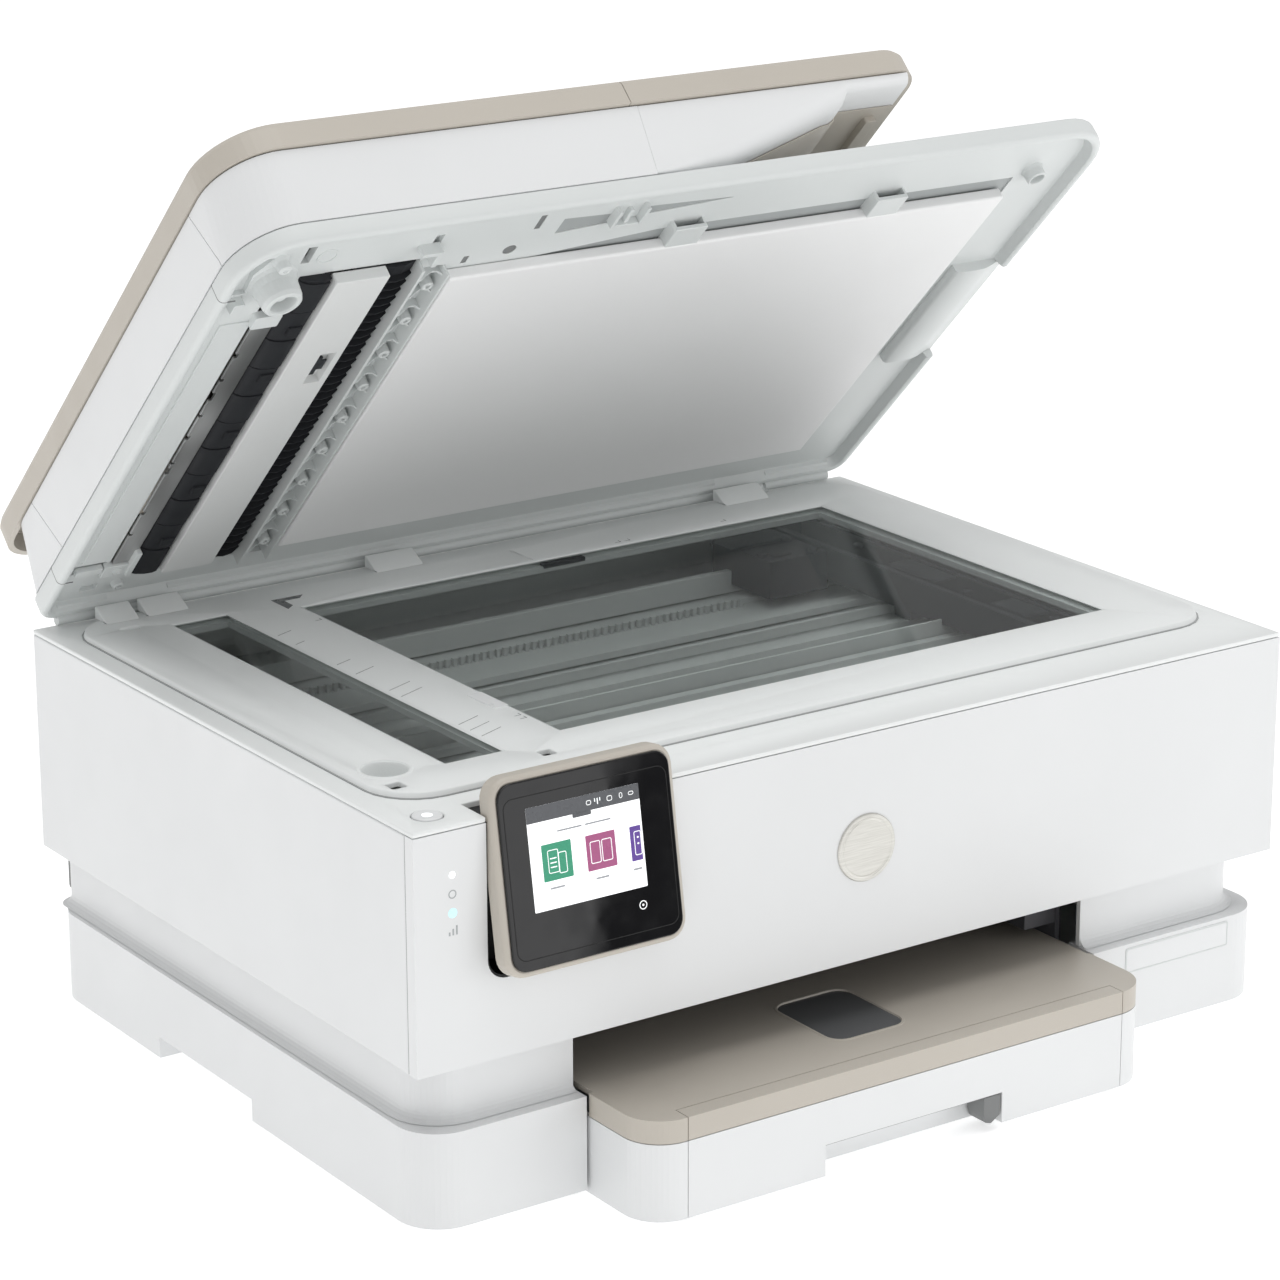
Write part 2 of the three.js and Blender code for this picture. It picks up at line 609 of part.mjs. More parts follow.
function panelGlass() {
  const { x0, x1, below, above, r } = PANEL;
  return slab(x0 + 2.4, x1 - 2.4, below + 2.4, above - 2.4, 9.8, 11, r - 2.4, 5).rotate([90, 0, 0]);
}

function buildScanner() {
  add("scanner_shell", "white", scannerShell());
  add("front_panel", "white", frontPanel());
  add("top_deck", "light", topDeck());
  add("scanner_pan", "grey", scannerPan());
  add("platen_glass", "glass", box(GLASS.x0 + GAP, GLASS.x1 - GAP, GLASS.y0 + GAP, GLASS.y1 - GAP,
    177.8, 180.6));
  add("feeder_glass", "glass", box(STRIP_GLASS.x0 + GAP, STRIP_GLASS.x1 - GAP,
    STRIP_GLASS.y0 + GAP, STRIP_GLASS.y1 - GAP, 177.8, 180.6));
  add("scan_carriage", "charcoal", scanCarriage());
  add("scan_pinion", "light", scanPinion());
  add("power_button", "white", join(
    cylinder("z", 6.3, 173, 178.2, -213.7, 15.3, 20),
    cylinder("z", 8, 171, 173.2, -213.7, 15.3, 12),
  ));
  add("panel_shell", "beige", panelShell(), panel);
  add("panel_glass", "black", panelGlass(), panel);
  for (const [name, x] of [["lid_hinge_left", -192], ["lid_hinge_right", 150]]) {
    add(name, "light", join(
      box(x, x + 28, 319.5, 326, DECK_Z + GAP, PLATFORM_Z),
      cylinder("x", HINGE_R - 0.2, x, x + 28, LID_HINGE.y, LID_HINGE.z, 12),
    ));
  }
}

// ---------------------------------------------------------------- lid and document feeder
// Here y = 0 is the hinge axis, -y runs to the front edge and z = 0 is the plane of the deck.
const WELL = { x0: -206, x1: -131.5, s0: 21, s1: 266 };
// Distance of the side door's edges from the hinge, at the bottom and at the top.
const DOOR = { rear: [51.5, 41], front: [272, 264], swing: 12.6 };

function lidFrame() {
  const r = [LID_RADIUS, LID_RADIUS, 10, 10];
  const outline = [-LID_HALF, LID_HALF, -LID_LENGTH, 0, r];
  const outer = stack([
    [[-LID_HALF + RIM_CHAMFER, LID_HALF - RIM_CHAMFER, -LID_LENGTH + RIM_CHAMFER, 0, r], LID_RIM],
    [outline, LID_RIM + 1.6],
    [outline, LID_TOP - 2],
    [inset(outline, 1.6), LID_TOP],
  ], 6);
  const inside = slab(-LID_HALF + 3.5, LID_HALF - 3.5, -LID_LENGTH + 3.5, -4, -5, 6,
    [LID_RADIUS - 3.5, LID_RADIUS - 3.5, 8, 8], 6);
  const knuckles = [[-219, -193.5], [-162.5, 148.5], [179.5, 219]]
    .map(([a, b]) => join(cylinder("x", HINGE_R, a, b, 0, 0, 16), box(a, b, -6, 0, 0, 6)));
  const notches = [-193, 149].map((x) => box(x, x + 30, -9, 5, -5, 6));
  const boss = cylinder("z", 8.5, -6.5, 7, -202.5, -260, 20);
  const bossHole = cylinder("z", 5.5, -8, 3, -202.5, -260, 16);
  const bumper = cylinder("z", 4.8, -0.1, 7, 198, -262.5, 14);
  const pin = cylinder("z", 2.6, -0.1, 7, -206, -278, 10);
  return cut(
    join(
      cut(outer, inside, box(-240, 240, -9, 5, -5, 0.5), ...notches),
      ...knuckles,
      boss,
      bumper,
      pin,
    ),
    bossHole,
    box(WELL.x0, WELL.x1, -WELL.s1, -WELL.s0, -5, 20),
    box(222, 240, -183, -112, -5, 2),
  );
}

// Slab between the side door's slanted front and rear edges, each pulled in by the clearance.
// Below DOOR.swing the front edge is upright, so that the door clears it while it swings out.
function doorSlab(x0, x1, clearance, z0, z1) {
  const edge = ([low, high], z) => low + (high - low) * (z - LID_TOP) / (FEEDER_TOP - LID_TOP);
  const front = (z) => -edge(DOOR.front, Math.max(z, DOOR.swing)) + clearance;
  const rear = (z) => -edge(DOOR.rear, z) - clearance;
  const outline = [[front(z0), z0], [rear(z0), z0], [rear(z1), z1], [front(z1), z1],
    [front(DOOR.swing), DOOR.swing]];
  return prismX(outline, x0, x1);
}

function feederBody() {
  const right = TRAY_WALL_X - GAP;
  const outer = taper(
    [-LID_HALF, right, -LID_LENGTH, -2, [LID_RADIUS, 0, 0, 12]], LID_TOP + GAP,
    [-LID_HALF, right, -FEEDER_LENGTH, -8, [LID_RADIUS, 0, 0, 20]], FEEDER_TOP, 6,
  );
  const inside = taper(
    [-LID_HALF + WALL, right + 5, -LID_LENGTH + WALL, -2 - WALL, [LID_RADIUS - WALL, 0, 0, 10]],
    LID_TOP - 1,
    [-LID_HALF + WALL, right + 5, -FEEDER_LENGTH + WALL, -8 - WALL, [LID_RADIUS - WALL, 0, 0, 17]],
    FEEDER_TOP + 1, 6,
  );
  const doorway = doorSlab(-240, -218, 0, LID_TOP - 5, FEEDER_TOP + 5);
  const floor = box(-130, right, -300, -4, LID_TOP + GAP, LID_TOP + GAP + WALL).intersect(outer);
  const bearings = [[-262, -250], [-54, -42]].map(([a, b]) => box(-158, -128, a, b, LID_TOP + 0.8, 34));
  const bores = cylinder("y", 3.6, -263, -41, -144, 24, 12);
  const whole = join(cut(outer, inside, doorway), floor, ...bearings);
  return whole.subtract(bores);
}

function inputTray() {
  const y0 = -300;
  const y1 = -10;
  const x0 = TRAY_WALL_X;
  const x1 = TRAY_RIGHT;
  const under = [[x0, LID_TOP + 1], [x0 + 8, LID_TOP + 1], [RAMP_END, 35], [x1, 35]];
  const outer = prismY([...under, [x1, FEEDER_TOP], [x0, FEEDER_TOP]], y0, y1);
  const ramp = [[x0 - 5, LID_TOP + 4], [x0 + 7, LID_TOP + 4], [RAMP_END, 37.6], [x1 + 5, 37.6]];
  const inside = prismY([...ramp, [x1 + 5, 60], [x0 - 5, 60]], y0 + WALL, y1 - WALL);
  return cut(outer, inside);
}

function capHalf(x0, x1, radii) {
  const innerRadii = radii.map((r) => Math.max(r - 3, 0));
  const plan = (left, right, d, r) => [left, right, -CAP_FRONT + d, CAP_REAR - d, r];
  const side = (d) => plan(x0 + (radii[0] ? d : 0), x1 - (radii[1] ? d : 0), d, radii);
  const outer = stack([[side(0), CAP_BOTTOM], [side(0), CAP_TOP - 3], [side(1), CAP_TOP - 0.9],
    [side(3), CAP_TOP]], 6);
  const inside = slab(...plan(x0 + 3, x1 - 3, 3).slice(0, 4), 30, CAP_TOP - 2.8, innerRadii, 6);
  return cut(outer, inside);
}

function feederDoor() {
  const plate = doorSlab(-LID_HALF, -LID_HALF + WALL, 0.4, LID_TOP + GAP, FEEDER_TOP);
  const clip = [-240, -84].map((y) => box(-LID_HALF + 1, -LID_HALF + 6, y, y + 10, 30, FEEDER_TOP));
  return join(plate, ...clip);
}

function rollerGuide() {
  const frame = cut(
    box(-204.5, -133, -264, -23, 1.5, 8),
    box(-175.2, -147.8, -260.5, -26.5, -5, 20),
  );
  const ribs = [];
  for (let y = -250; y <= -40; y += 21) {
    ribs.push(box(-203, -177, y, y + 2, 0.4, 3));
    ribs.push(box(-146, -134.5, y, y + 2, 0.4, 3));
  }
  return join(frame, ...ribs);
}

function documentGuide(side) {
  const y = -150 + side * 108;
  const [a, b] = side < 0 ? [y, y + 2] : [y - 2, y];
  const [c, d] = side < 0 ? [y, y + 24] : [y - 24, y];
  const fence = prismY([[40, 27.9], [84, 37.9], [84, 48], [40, 48]], a, b);
  const foot = prismY([[60, 32.4], [84, 37.9], [84, 40], [60, 34.5]], c, d);
  return join(fence, foot);
}

function buildLid() {
  add("lid_frame", "light", lidFrame(), lid);
  add("backing_mat", "white", box(-115, 187, -249.5, -31, 0.3, 5.7), lid);
  add("feeder_body", "white", feederBody(), lid);
  add("input_tray", "white", inputTray(), lid);
  add("feeder_cover", "beige", capHalf(-HALF_W, CAP_SEAM - 0.2, [30, 0, 0, 20]), lid);
  add("feeder_door", "white", feederDoor(), lid);
  add("flip_cover", "beige", capHalf(CAP_SEAM + 0.2, CAP_RIGHT, [0, 18, 18, 0]), lid);
  add("pressure_plate", "white", box(-174.5, -148.5, -260, -27, 0.1, 6), lid);
  add("roller_guide", "charcoal", rollerGuide(), lid);
  add("pick_roller", "rubber", join(
    cylinder("y", 3, -260, -44, -144, 24, 12),
    cylinder("y", 9, -172, -130, -144, 24, 20),
  ), lid);
  add("document_guide_front", "light", documentGuide(-1), lid);
  add("document_guide_rear", "light", documentGuide(1), lid);
}

buildBase();
buildTrays();
buildEngine();
buildScanner();
buildLid();

const group = new THREE.Group();
group.add(machine);
const bounds = new THREE.Box3().setFromObject(group, true);
const centre = bounds.getCenter(new THREE.Vector3());
machine.position.set(-centre.x, -centre.y, -bounds.min.z);

export default group;
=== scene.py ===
import json
import math

import bmesh
import bpy
from mathutils import Matrix, Vector


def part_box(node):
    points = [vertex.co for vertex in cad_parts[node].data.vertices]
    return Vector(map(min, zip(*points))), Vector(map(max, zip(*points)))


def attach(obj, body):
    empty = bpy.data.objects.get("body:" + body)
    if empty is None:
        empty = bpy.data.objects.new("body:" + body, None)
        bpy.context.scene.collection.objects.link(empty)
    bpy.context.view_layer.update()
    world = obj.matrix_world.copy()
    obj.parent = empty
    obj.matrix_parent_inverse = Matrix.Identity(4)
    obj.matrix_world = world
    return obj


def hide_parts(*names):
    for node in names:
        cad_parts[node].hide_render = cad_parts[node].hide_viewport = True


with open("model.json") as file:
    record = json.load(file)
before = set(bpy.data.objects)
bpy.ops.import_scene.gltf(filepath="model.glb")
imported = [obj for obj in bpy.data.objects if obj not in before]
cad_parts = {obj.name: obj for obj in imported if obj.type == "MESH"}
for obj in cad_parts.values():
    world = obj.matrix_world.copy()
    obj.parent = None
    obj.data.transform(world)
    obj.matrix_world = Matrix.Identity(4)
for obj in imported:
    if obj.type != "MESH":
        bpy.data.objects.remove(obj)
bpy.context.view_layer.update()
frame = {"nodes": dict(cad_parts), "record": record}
FRONT_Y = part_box("front_panel")[0].y
MM = 0.001

# Hinge lines, as (y, z), and the angles the lid and the touch panel stand at in the frame.
LID_HINGE = (326, 181.5)
LID_OPEN = 45
PANEL_PIVOT = (8, 186)
PANEL_TILT = 9.3

MACHINE = Matrix.Translation((0, FRONT_Y, 0)) @ Matrix.Scale(MM, 4)
UPRIGHT = Matrix.Rotation(math.radians(90), 4, "X")    # drawn in x-z, thickness towards the front
SIDEWAYS = Matrix.Rotation(math.radians(90), 4, "Y")   # turned about z, then laid along x


def hinged(pivot, angle):
    """A frame at a hinge line (y, z), tipped back by angle; y runs from the hinge, z off its plane."""
    return MACHINE @ Matrix.Translation((0, *pivot)) @ Matrix.Rotation(math.radians(-angle), 4, "X")


def upright_at(y):
    return MACHINE @ Matrix.Translation((0, y, 0)) @ UPRIGHT


LID = hinged(LID_HINGE, LID_OPEN)
PANEL = hinged(PANEL_PIVOT, PANEL_TILT)
PANEL_FACE = PANEL @ UPRIGHT
FRONT_FACE = upright_at(0)

# ---------------------------------------------------------------- camera
CAMERA_PLACE = (-1020.0, -1302.4, 739.1)
CAMERA_FORWARD = (0.54146, 0.78479, -0.30155)
CAMERA_ROLL = -0.14
FOCAL_LENGTH = 116.27


def make_camera():
    data = bpy.data.cameras.new("camera")
    data.sensor_width = 36
    data.lens = FOCAL_LENGTH
    data.clip_start = 0.1
    data.clip_end = 30
    camera = bpy.data.objects.new("camera", data)
    bpy.context.scene.collection.objects.link(camera)
    roll = Matrix.Rotation(math.radians(CAMERA_ROLL), 3, "Z").to_quaternion()
    turn = Vector(CAMERA_FORWARD).normalized().to_track_quat("-Z", "Y") @ roll
    place = MACHINE @ Vector(CAMERA_PLACE)
    camera.matrix_world = Matrix.Translation(place) @ turn.to_matrix().to_4x4()
    bpy.context.scene.camera = camera


make_camera()


# ---------------------------------------------------------------- materials
class Nodes:
    """Small helper for building a node tree."""

    def __init__(self, name):
        self.material = bpy.data.materials.new(name)
        self.material.use_nodes = True
        self.tree = self.material.node_tree
        self.shader = self.tree.nodes["Principled BSDF"]
        self.point = self.tree.nodes.new("ShaderNodeTexCoord").outputs["Object"]

    def add(self, kind, inputs=(), **settings):
        node = self.tree.nodes.new(kind)
        for key, value in settings.items():
            setattr(node, key, value)
        for key, value in dict(inputs).items():
            if isinstance(value, bpy.types.NodeSocket):
                self.tree.links.new(value, node.inputs[key])
            else:
                node.inputs[key].default_value = value
        return node

    def link(self, socket, target):
        self.tree.links.new(socket, self.shader.inputs[target])

    def noise(self, scale, detail=2.0, roughness=0.5, vector=None):
        node = self.add("ShaderNodeTexNoise", {"Scale": scale, "Detail": detail, "Roughness": roughness,
                                               "Vector": vector or self.point})
        return node.outputs["Fac"]

    def spread(self, value, low, high, start=0.35, end=0.65):
        node = self.add("ShaderNodeMapRange", {"Value": value, "From Min": start, "From Max": end,
                                               "To Min": low, "To Max": high})
        return node.outputs["Result"]

    def mix(self, factor, first, second):
        node = self.add("ShaderNodeMix", data_type="RGBA")
        for key, value in (("Factor", factor), ("A", first), ("B", second)):
            socket = next(s for s in node.inputs if s.name == key and s.enabled and (
                key == "Factor" or s.type == "RGBA"))
            if isinstance(value, bpy.types.NodeSocket):
                self.tree.links.new(value, socket)
            else:
                socket.default_value = value
        return next(s for s in node.outputs if s.type == "RGBA")

    def bump(self, height, strength, distance):
        node = self.add("ShaderNodeBump", {"Height": height, "Strength": strength, "Distance": distance})
        self.link(node.outputs["Normal"], "Normal")


def shade(colour, factor):
    return tuple(min(1.0, c * factor) for c in colour[:3]) + (1.0,)


def moulded(name, colour, roughness, grain=1400.0, depth=0.00004, strength=0.35, mottle=0.012, coat=0.0):
    """Injection-moulded plastic: faint flow mottle, fine spark texture, slight gloss variation."""
    m = Nodes(name)
    cloud = m.noise(14, 3)
    m.link(m.mix(m.spread(cloud, 0, 1, 0.3, 0.7), shade(colour, 1 - mottle), shade(colour, 1 + mottle)),
           "Base Color")
    m.link(m.spread(m.noise(60, 2), roughness - 0.04, roughness + 0.05), "Roughness")
    m.bump(m.noise(grain, 2), strength, depth)
    m.shader.inputs["Coat Weight"].default_value = coat
    m.shader.inputs["Coat Roughness"].default_value = 0.2
    m.shader.inputs["Specular IOR Level"].default_value = 0.45
    return m.material


WHITE = moulded("white_plastic", (0.80, 0.81, 0.815), 0.42)
LIGHT = moulded("light_grey_plastic", (0.70, 0.725, 0.72), 0.40)
BEIGE = moulded("beige_plastic", (0.54, 0.50, 0.44), 0.38, grain=1700)
CHARCOAL = moulded("charcoal_plastic", (0.022, 0.024, 0.028), 0.45)
GREY = moulded("grey_plastic", (0.20, 0.205, 0.205), 0.5)
BLUE = moulded("blue_plastic", (0.07, 0.13, 0.29), 0.45)
BLACK = moulded("black_gloss", (0.006, 0.006, 0.007), 0.06, grain=300, depth=0.000002, strength=0.02)


def rubber():
    m = Nodes("soft_rubber")
    colour = m.mix(m.spread(m.noise(40, 3), 0, 1), (0.018, 0.018, 0.018, 1), (0.03, 0.03, 0.03, 1))
    m.link(colour, "Base Color")
    m.link(m.spread(m.noise(120), 0.72, 0.9), "Roughness")
    m.bump(m.noise(900, 3), 0.5, 0.00008)
    return m.material


def feed_steel():
    """Polished strip: broad light and dark bands along it, painted reflection, and fine lines running its
    length.
    """
    m = Nodes("polished_strip")
    bands = m.add("ShaderNodeMapping", {"Vector": m.point, "Scale": (1, 14, 14)})
    painted_reflection = m.noise(1.0, 1, vector=bands.outputs["Vector"])
    stretch = m.add("ShaderNodeMapping", {"Vector": m.point, "Scale": (1600, 4, 4)})
    lines = m.noise(1.0, 2, vector=stretch.outputs["Vector"])
    # Broad bands of base colour: painted reflection along the polished strip.
    colour = m.mix(m.spread(painted_reflection, 0, 1, 0.38, 0.62), (0.20, 0.20, 0.20, 1), (0.58, 0.58, 0.58, 1))
    m.link(colour, "Base Color")
    m.link(m.spread(lines, 0.3, 0.38), "Roughness")
    m.shader.inputs["Metallic"].default_value = 0.8
    return m.material


def steel():
    m = Nodes("rolled_steel")
    stretch = m.add("ShaderNodeMapping", {"Vector": m.point, "Scale": (60, 1400, 1400)})
    lines = m.noise(1.0, 3, vector=stretch.outputs["Vector"])
    m.link(m.mix(m.spread(lines, 0, 1), (0.40, 0.41, 0.42, 1), (0.56, 0.57, 0.58, 1)), "Base Color")
    m.link(m.spread(lines, 0.24, 0.4), "Roughness")
    m.shader.inputs["Metallic"].default_value = 1
    m.bump(lines, 0.2, 0.00003)
    return m.material


def glass():
    m = Nodes("clear_glass")
    m.shader.inputs["Base Color"].default_value = (0.9, 0.94, 0.93, 1)
    m.link(m.spread(m.noise(8, 2), 0.0, 0.03), "Roughness")
    m.shader.inputs["Transmission Weight"].default_value = 1
    m.shader.inputs["IOR"].default_value = 1.1
    return m.material


def smoke():
    m = Nodes("smoke_plastic")
    m.link(m.mix(m.noise(20), (0.17, 0.175, 0.18, 1), (0.22, 0.225, 0.23, 1)), "Base Color")
    m.link(m.spread(m.noise(30), 0.08, 0.16), "Roughness")
    m.shader.inputs["Transmission Weight"].default_value = 0.25
    return m.material


def board():
    m = Nodes("green_board")
    traces = m.add("ShaderNodeTexBrick", {
        "Vector": m.point, "Scale": 160.0, "Mortar Size": 0.03, "Color1": (0.01, 0.08, 0.035, 1),
        "Color2": (0.015, 0.11, 0.05, 1), "Mortar": (0.03, 0.18, 0.08, 1)})
    m.link(traces.outputs["Color"], "Base Color")
    m.link(m.spread(m.noise(90), 0.3, 0.45), "Roughness")
    return m.material


RUBBER = rubber()
STEEL = steel()
STRIP_STEEL = feed_steel()
GLASS = glass()
SMOKE = smoke()
BOARD = board()

BLACK_MATT = moulded("black_matt_plastic", (0.008, 0.008, 0.009), 0.6)
GUIDE = moulded("dark_guide_plastic", (0.008, 0.009, 0.012), 0.7)
# Grey for the band round the foot of the raised platform: painted shade where its wall meets the deck.
PLATFORM_FOOT_SHADE = moulded("platform_foot_painted_shade", (0.36, 0.37, 0.37), 0.5)
# The body's white made brighter for the deck and its fittings: painted light for the light the open lid keeps
# off them.
DECK_PAINTED_LIGHT = moulded("deck_white_painted_light", (0.86, 0.88, 0.875), 0.38)
CAVITY = moulded("cavity_plastic", (0.075, 0.075, 0.084), 0.5)
CARRIAGE = moulded("carriage_plastic", (0.014, 0.015, 0.018), 0.75)
CARRIAGE.node_tree.nodes["Principled BSDF"].inputs["Specular IOR Level"].default_value = 0.1
# Grey for the floors filled into the lid underside's recesses: painted shade.
SHADE = moulded("painted_recess_shade", (0.38, 0.40, 0.40), 0.55)
SHOE = moulded("pressure_shoe_plastic", (0.74, 0.75, 0.745), 0.42, grain=1600, depth=0.00002, strength=0.2)
MAT = moulded("backing_film", (0.90, 0.90, 0.90), 0.42, grain=1600, depth=0.00002, strength=0.2,
              mottle=0.004)


def painted(name, colour, strength=0.0, roughness=0.3):
    """Printed or lit detail: even ink with a faint dot pattern, lit from within when strength is set."""
    m = Nodes(name)
    ink = m.mix(m.spread(m.noise(900, 1), 0, 1), shade(colour, 0.96), shade(colour, 1.03))
    m.link(ink, "Base Color")
    m.link(m.spread(m.noise(200), roughness - 0.05, roughness + 0.05), "Roughness")
    if strength:
        m.link(ink, "Emission Color")
        m.shader.inputs["Emission Strength"].default_value = strength
    return m.material


def brushed_badge():
    m = Nodes("badge_metal")
    stretch = m.add("ShaderNodeMapping", {"Vector": m.point, "Scale": (90, 90, 2400)})
    lines = m.noise(1.0, 3, vector=stretch.outputs["Vector"])
    m.link(m.mix(m.spread(lines, 0, 1), (0.60, 0.59, 0.55, 1), (0.70, 0.69, 0.65, 1)), "Base Color")
    m.link(m.spread(lines, 0.28, 0.42), "Roughness")
    m.shader.inputs["Metallic"].default_value = 0.6
    m.bump(lines, 0.15, 0.00002)
    return m.material


METAL = brushed_badge()
PRINT = painted("grey_print", (0.42, 0.44, 0.45))
PRINT_DARK = painted("dark_print", (0.13, 0.135, 0.14))
GLOW_WHITE = painted("white_light", (0.95, 0.97, 1.0), 0.7)
GLOW_BLUE = painted("cyan_light", (0.45, 0.85, 1.0), 0.6)
SCREEN_WHITE = painted("screen_white", (0.95, 0.96, 0.97), 0.55)
SCREEN_GREY = painted("screen_grey", (0.08, 0.084, 0.092), 0.25)
SCREEN_GREEN = painted("screen_green", (0.03, 0.27, 0.155), 0.3)
SCREEN_MAGENTA = painted("screen_magenta", (0.33, 0.075, 0.19), 0.3)
SCREEN_PURPLE = painted("screen_purple", (0.10, 0.045, 0.27), 0.3)
PANEL_LINE = painted("panel_line", (0.003, 0.003, 0.003), roughness=0.7)
PAN = moulded("scanner_pan_plastic", (0.60, 0.605, 0.60), 0.5, grain=1600, depth=0.00001, strength=0.05,
              mottle=0.004)
SCREEN_INK = painted("screen_ink", (0.85, 0.87, 0.87), 0.45)
SCREEN_TEXT = painted("screen_text", (0.33, 0.34, 0.36), 0.25)

# Material of each slot that the CAD model names.
BY_SLOT = {
    "white_shell": WHITE, "light_moulding": LIGHT, "beige_moulding": BEIGE, "charcoal_moulding": CHARCOAL,
    "black_gloss": BLACK, "grey_moulding": GREY, "bright_steel": STEEL, "soft_rubber": RUBBER,
    "clear_glass": GLASS, "smoke_window": SMOKE, "green_board": BOARD, "blue_guide": BLUE,
}


# ---------------------------------------------------------------- mesh helpers
def rounded(x0, x1, y0, y1, radii, steps=6):
    """Points of a rounded rectangle; radii run front left, front right, back right, back left."""
    if not isinstance(radii, (list, tuple)):
        radii = [radii] * 4
    fl, fr, br, bl = [max(r, 0.02) for r in radii]
    points = []
    for cx, cy, r, start in ((x0 + fl, y0 + fl, fl, 180), (x1 - fr, y0 + fr, fr, 270),
                             (x1 - br, y1 - br, br, 0), (x0 + bl, y1 - bl, bl, 90)):
        for k in range(steps + 1):
            angle = math.radians(start + 90 * k / steps)
            points.append((cx + r * math.cos(angle), cy + r * math.sin(angle)))
    return points


def loft(rings, closed=False):
    """Skin over rings of equally many points; closed joins the last ring to the first."""
    bm = bmesh.new()
    loops = [[bm.verts.new(p) for p in ring] for ring in rings]
    pairs = list(zip(loops, loops[1:]))
    if closed:
        pairs.append((loops[-1], loops[0]))
    else:
        bm.faces.new(loops[0])
        bm.faces.new(loops[-1])
    for low, high in pairs:
        for i, vert in enumerate(low):
            j = (i + 1) % len(low)
            bm.faces.new((vert, low[j], high[j], high[i]))
    bmesh.ops.recalc_face_normals(bm, faces=bm.faces)
    return bm


def ring(outline, inset, z, steps=6):
    """The outline (x0, x1, y0, y1, radii) pulled in by inset, at height z."""
    x0, x1, y0, y1, radii = outline
    if not isinstance(radii, (list, tuple)):
        radii = [radii] * 4
    tighter = [max(r - inset, 0.02) for r in radii]
    points = rounded(x0 + inset, x1 - inset, y0 + inset, y1 - inset, tighter, steps)
    return [(x, y, z) for x, y in points]


def quarter(r, steps=4):
    """(inset, rise) pairs of a quarter-round from the flat face out to the wall."""
    angles = [math.radians(90 * k / steps) for k in range(steps + 1)]
    return [(r * (1 - math.sin(a)), r * (1 - math.cos(a))) for a in angles]


def plate(x0, x1, y0, y1, z0, z1, radii=1.0, top=0.5, bottom=0.3, steps=6):
    """Rounded plate with quarter-round edges on its top and bottom faces."""
    outline = (x0, x1, y0, y1, radii)
    rings = [ring(outline, d, z0 + h, steps) for d, h in quarter(bottom, 3)]
    rings += [ring(outline, d, z1 - h, steps) for d, h in reversed(quarter(top, 3))]
    return loft(rings)


def prism(outline, a, b, axis="x"):
    """Extrudes an outline from a to b. Outline points are (y, z), (x, z) or (x, y) for axis x, y or z."""
    order = {"x": lambda t, p: (t, p[0], p[1]), "y": lambda t, p: (p[0], t, p[1]),
             "z": lambda t, p: (p[0], p[1], t)}[axis]
    return loft([[order(a, p) for p in outline], [order(b, p) for p in outline]])


def block(x0, x1, y0, y1, z0, z1):
    return prism([(x0, y0), (x1, y0), (x1, y1), (x0, y1)], z0, z1, "z")


def circle(cx, cy, r, z, sides=32):
    return [(cx + r * math.cos(2 * math.pi * k / sides), cy + r * math.sin(2 * math.pi * k / sides), z)
            for k in range(sides)]


def turned(cx, cy, profile, sides=32, closed=False):
    """Body turned about the z axis through (cx, cy) from (radius, z) pairs."""
    return loft([circle(cx, cy, max(r, 0.01), z, sides) for r, z in profile], closed)


def together(*bodies):
    """One bmesh holding all the given ones."""
    whole = bmesh.new()
    for body in bodies:
        mesh = bpy.data.meshes.new("part")
        body.to_mesh(mesh)
        whole.from_mesh(mesh)
        bpy.data.meshes.remove(mesh)
    return whole


def link_mesh(name, bm, place):
    mesh = bpy.data.meshes.new(name)
    bm.to_mesh(mesh)
    mesh.transform(place)
    obj = bpy.data.objects.new(name, mesh)
    bpy.context.scene.collection.objects.link(obj)
    return obj


def carve(obj, cuts, place):
    """Cuts each body in cuts out of obj and keeps the result as its mesh."""
    for index, bm in enumerate(cuts):
        cutter = link_mesh(f"cutter_{index}", bm, place)
        boolean = obj.modifiers.new("cut", "BOOLEAN")
        boolean.operation = "DIFFERENCE"
        boolean.solver = "EXACT"
        boolean.object = cutter
        graph = bpy.context.evaluated_depsgraph_get()
        mesh = bpy.data.meshes.new_from_object(obj.evaluated_get(graph))
        obj.modifiers.clear()
        obj.data = mesh
        bpy.data.objects.remove(cutter)
    if cuts:
        tidy_mesh(obj.data)


def tidy_mesh(mesh):
    """Welds and clears the slivers a cut leaves behind."""
    bm = bmesh.new()
    bm.from_mesh(mesh)
    bmesh.ops.remove_doubles(bm, verts=bm.verts, dist=0.02 * MM)
    bmesh.ops.dissolve_degenerate(bm, dist=0.02 * MM, edges=bm.edges)
    bmesh.ops.dissolve_limit(bm, angle_limit=math.radians(0.4), verts=bm.verts, edges=bm.edges)
    bmesh.ops.triangulate(bm, faces=[f for f in bm.faces if len(f.verts) > 4])
    bm.to_mesh(mesh)
    bm.free()


def soften(obj, width, angle=38, segments=2):
    """Smooth shading with a small bevel, width in millimetres, on edges sharper than angle."""
    for polygon in obj.data.polygons:
        polygon.use_smooth = True
    bevel = obj.modifiers.new("soft_edges", "BEVEL")
    bevel.width = width * MM
    bevel.segments = segments
    bevel.limit_method = "ANGLE"
    bevel.angle_limit = math.radians(angle)
    bevel.use_clamp_overlap = False
    bevel.harden_normals = True
    bevel.miter_outer = "MITER_ARC"


def piece(name, bm, material, body, place=MACHINE, cuts=(), edge=0.25, replaces=(), angle=38):
    """A visible piece on a body; edge is its bevel's width and replaces the CAD nodes it stands for."""
    obj = link_mesh(name, bm, place)
    carve(obj, cuts, place)
    return dress(obj, material, body, edge, replaces, angle)


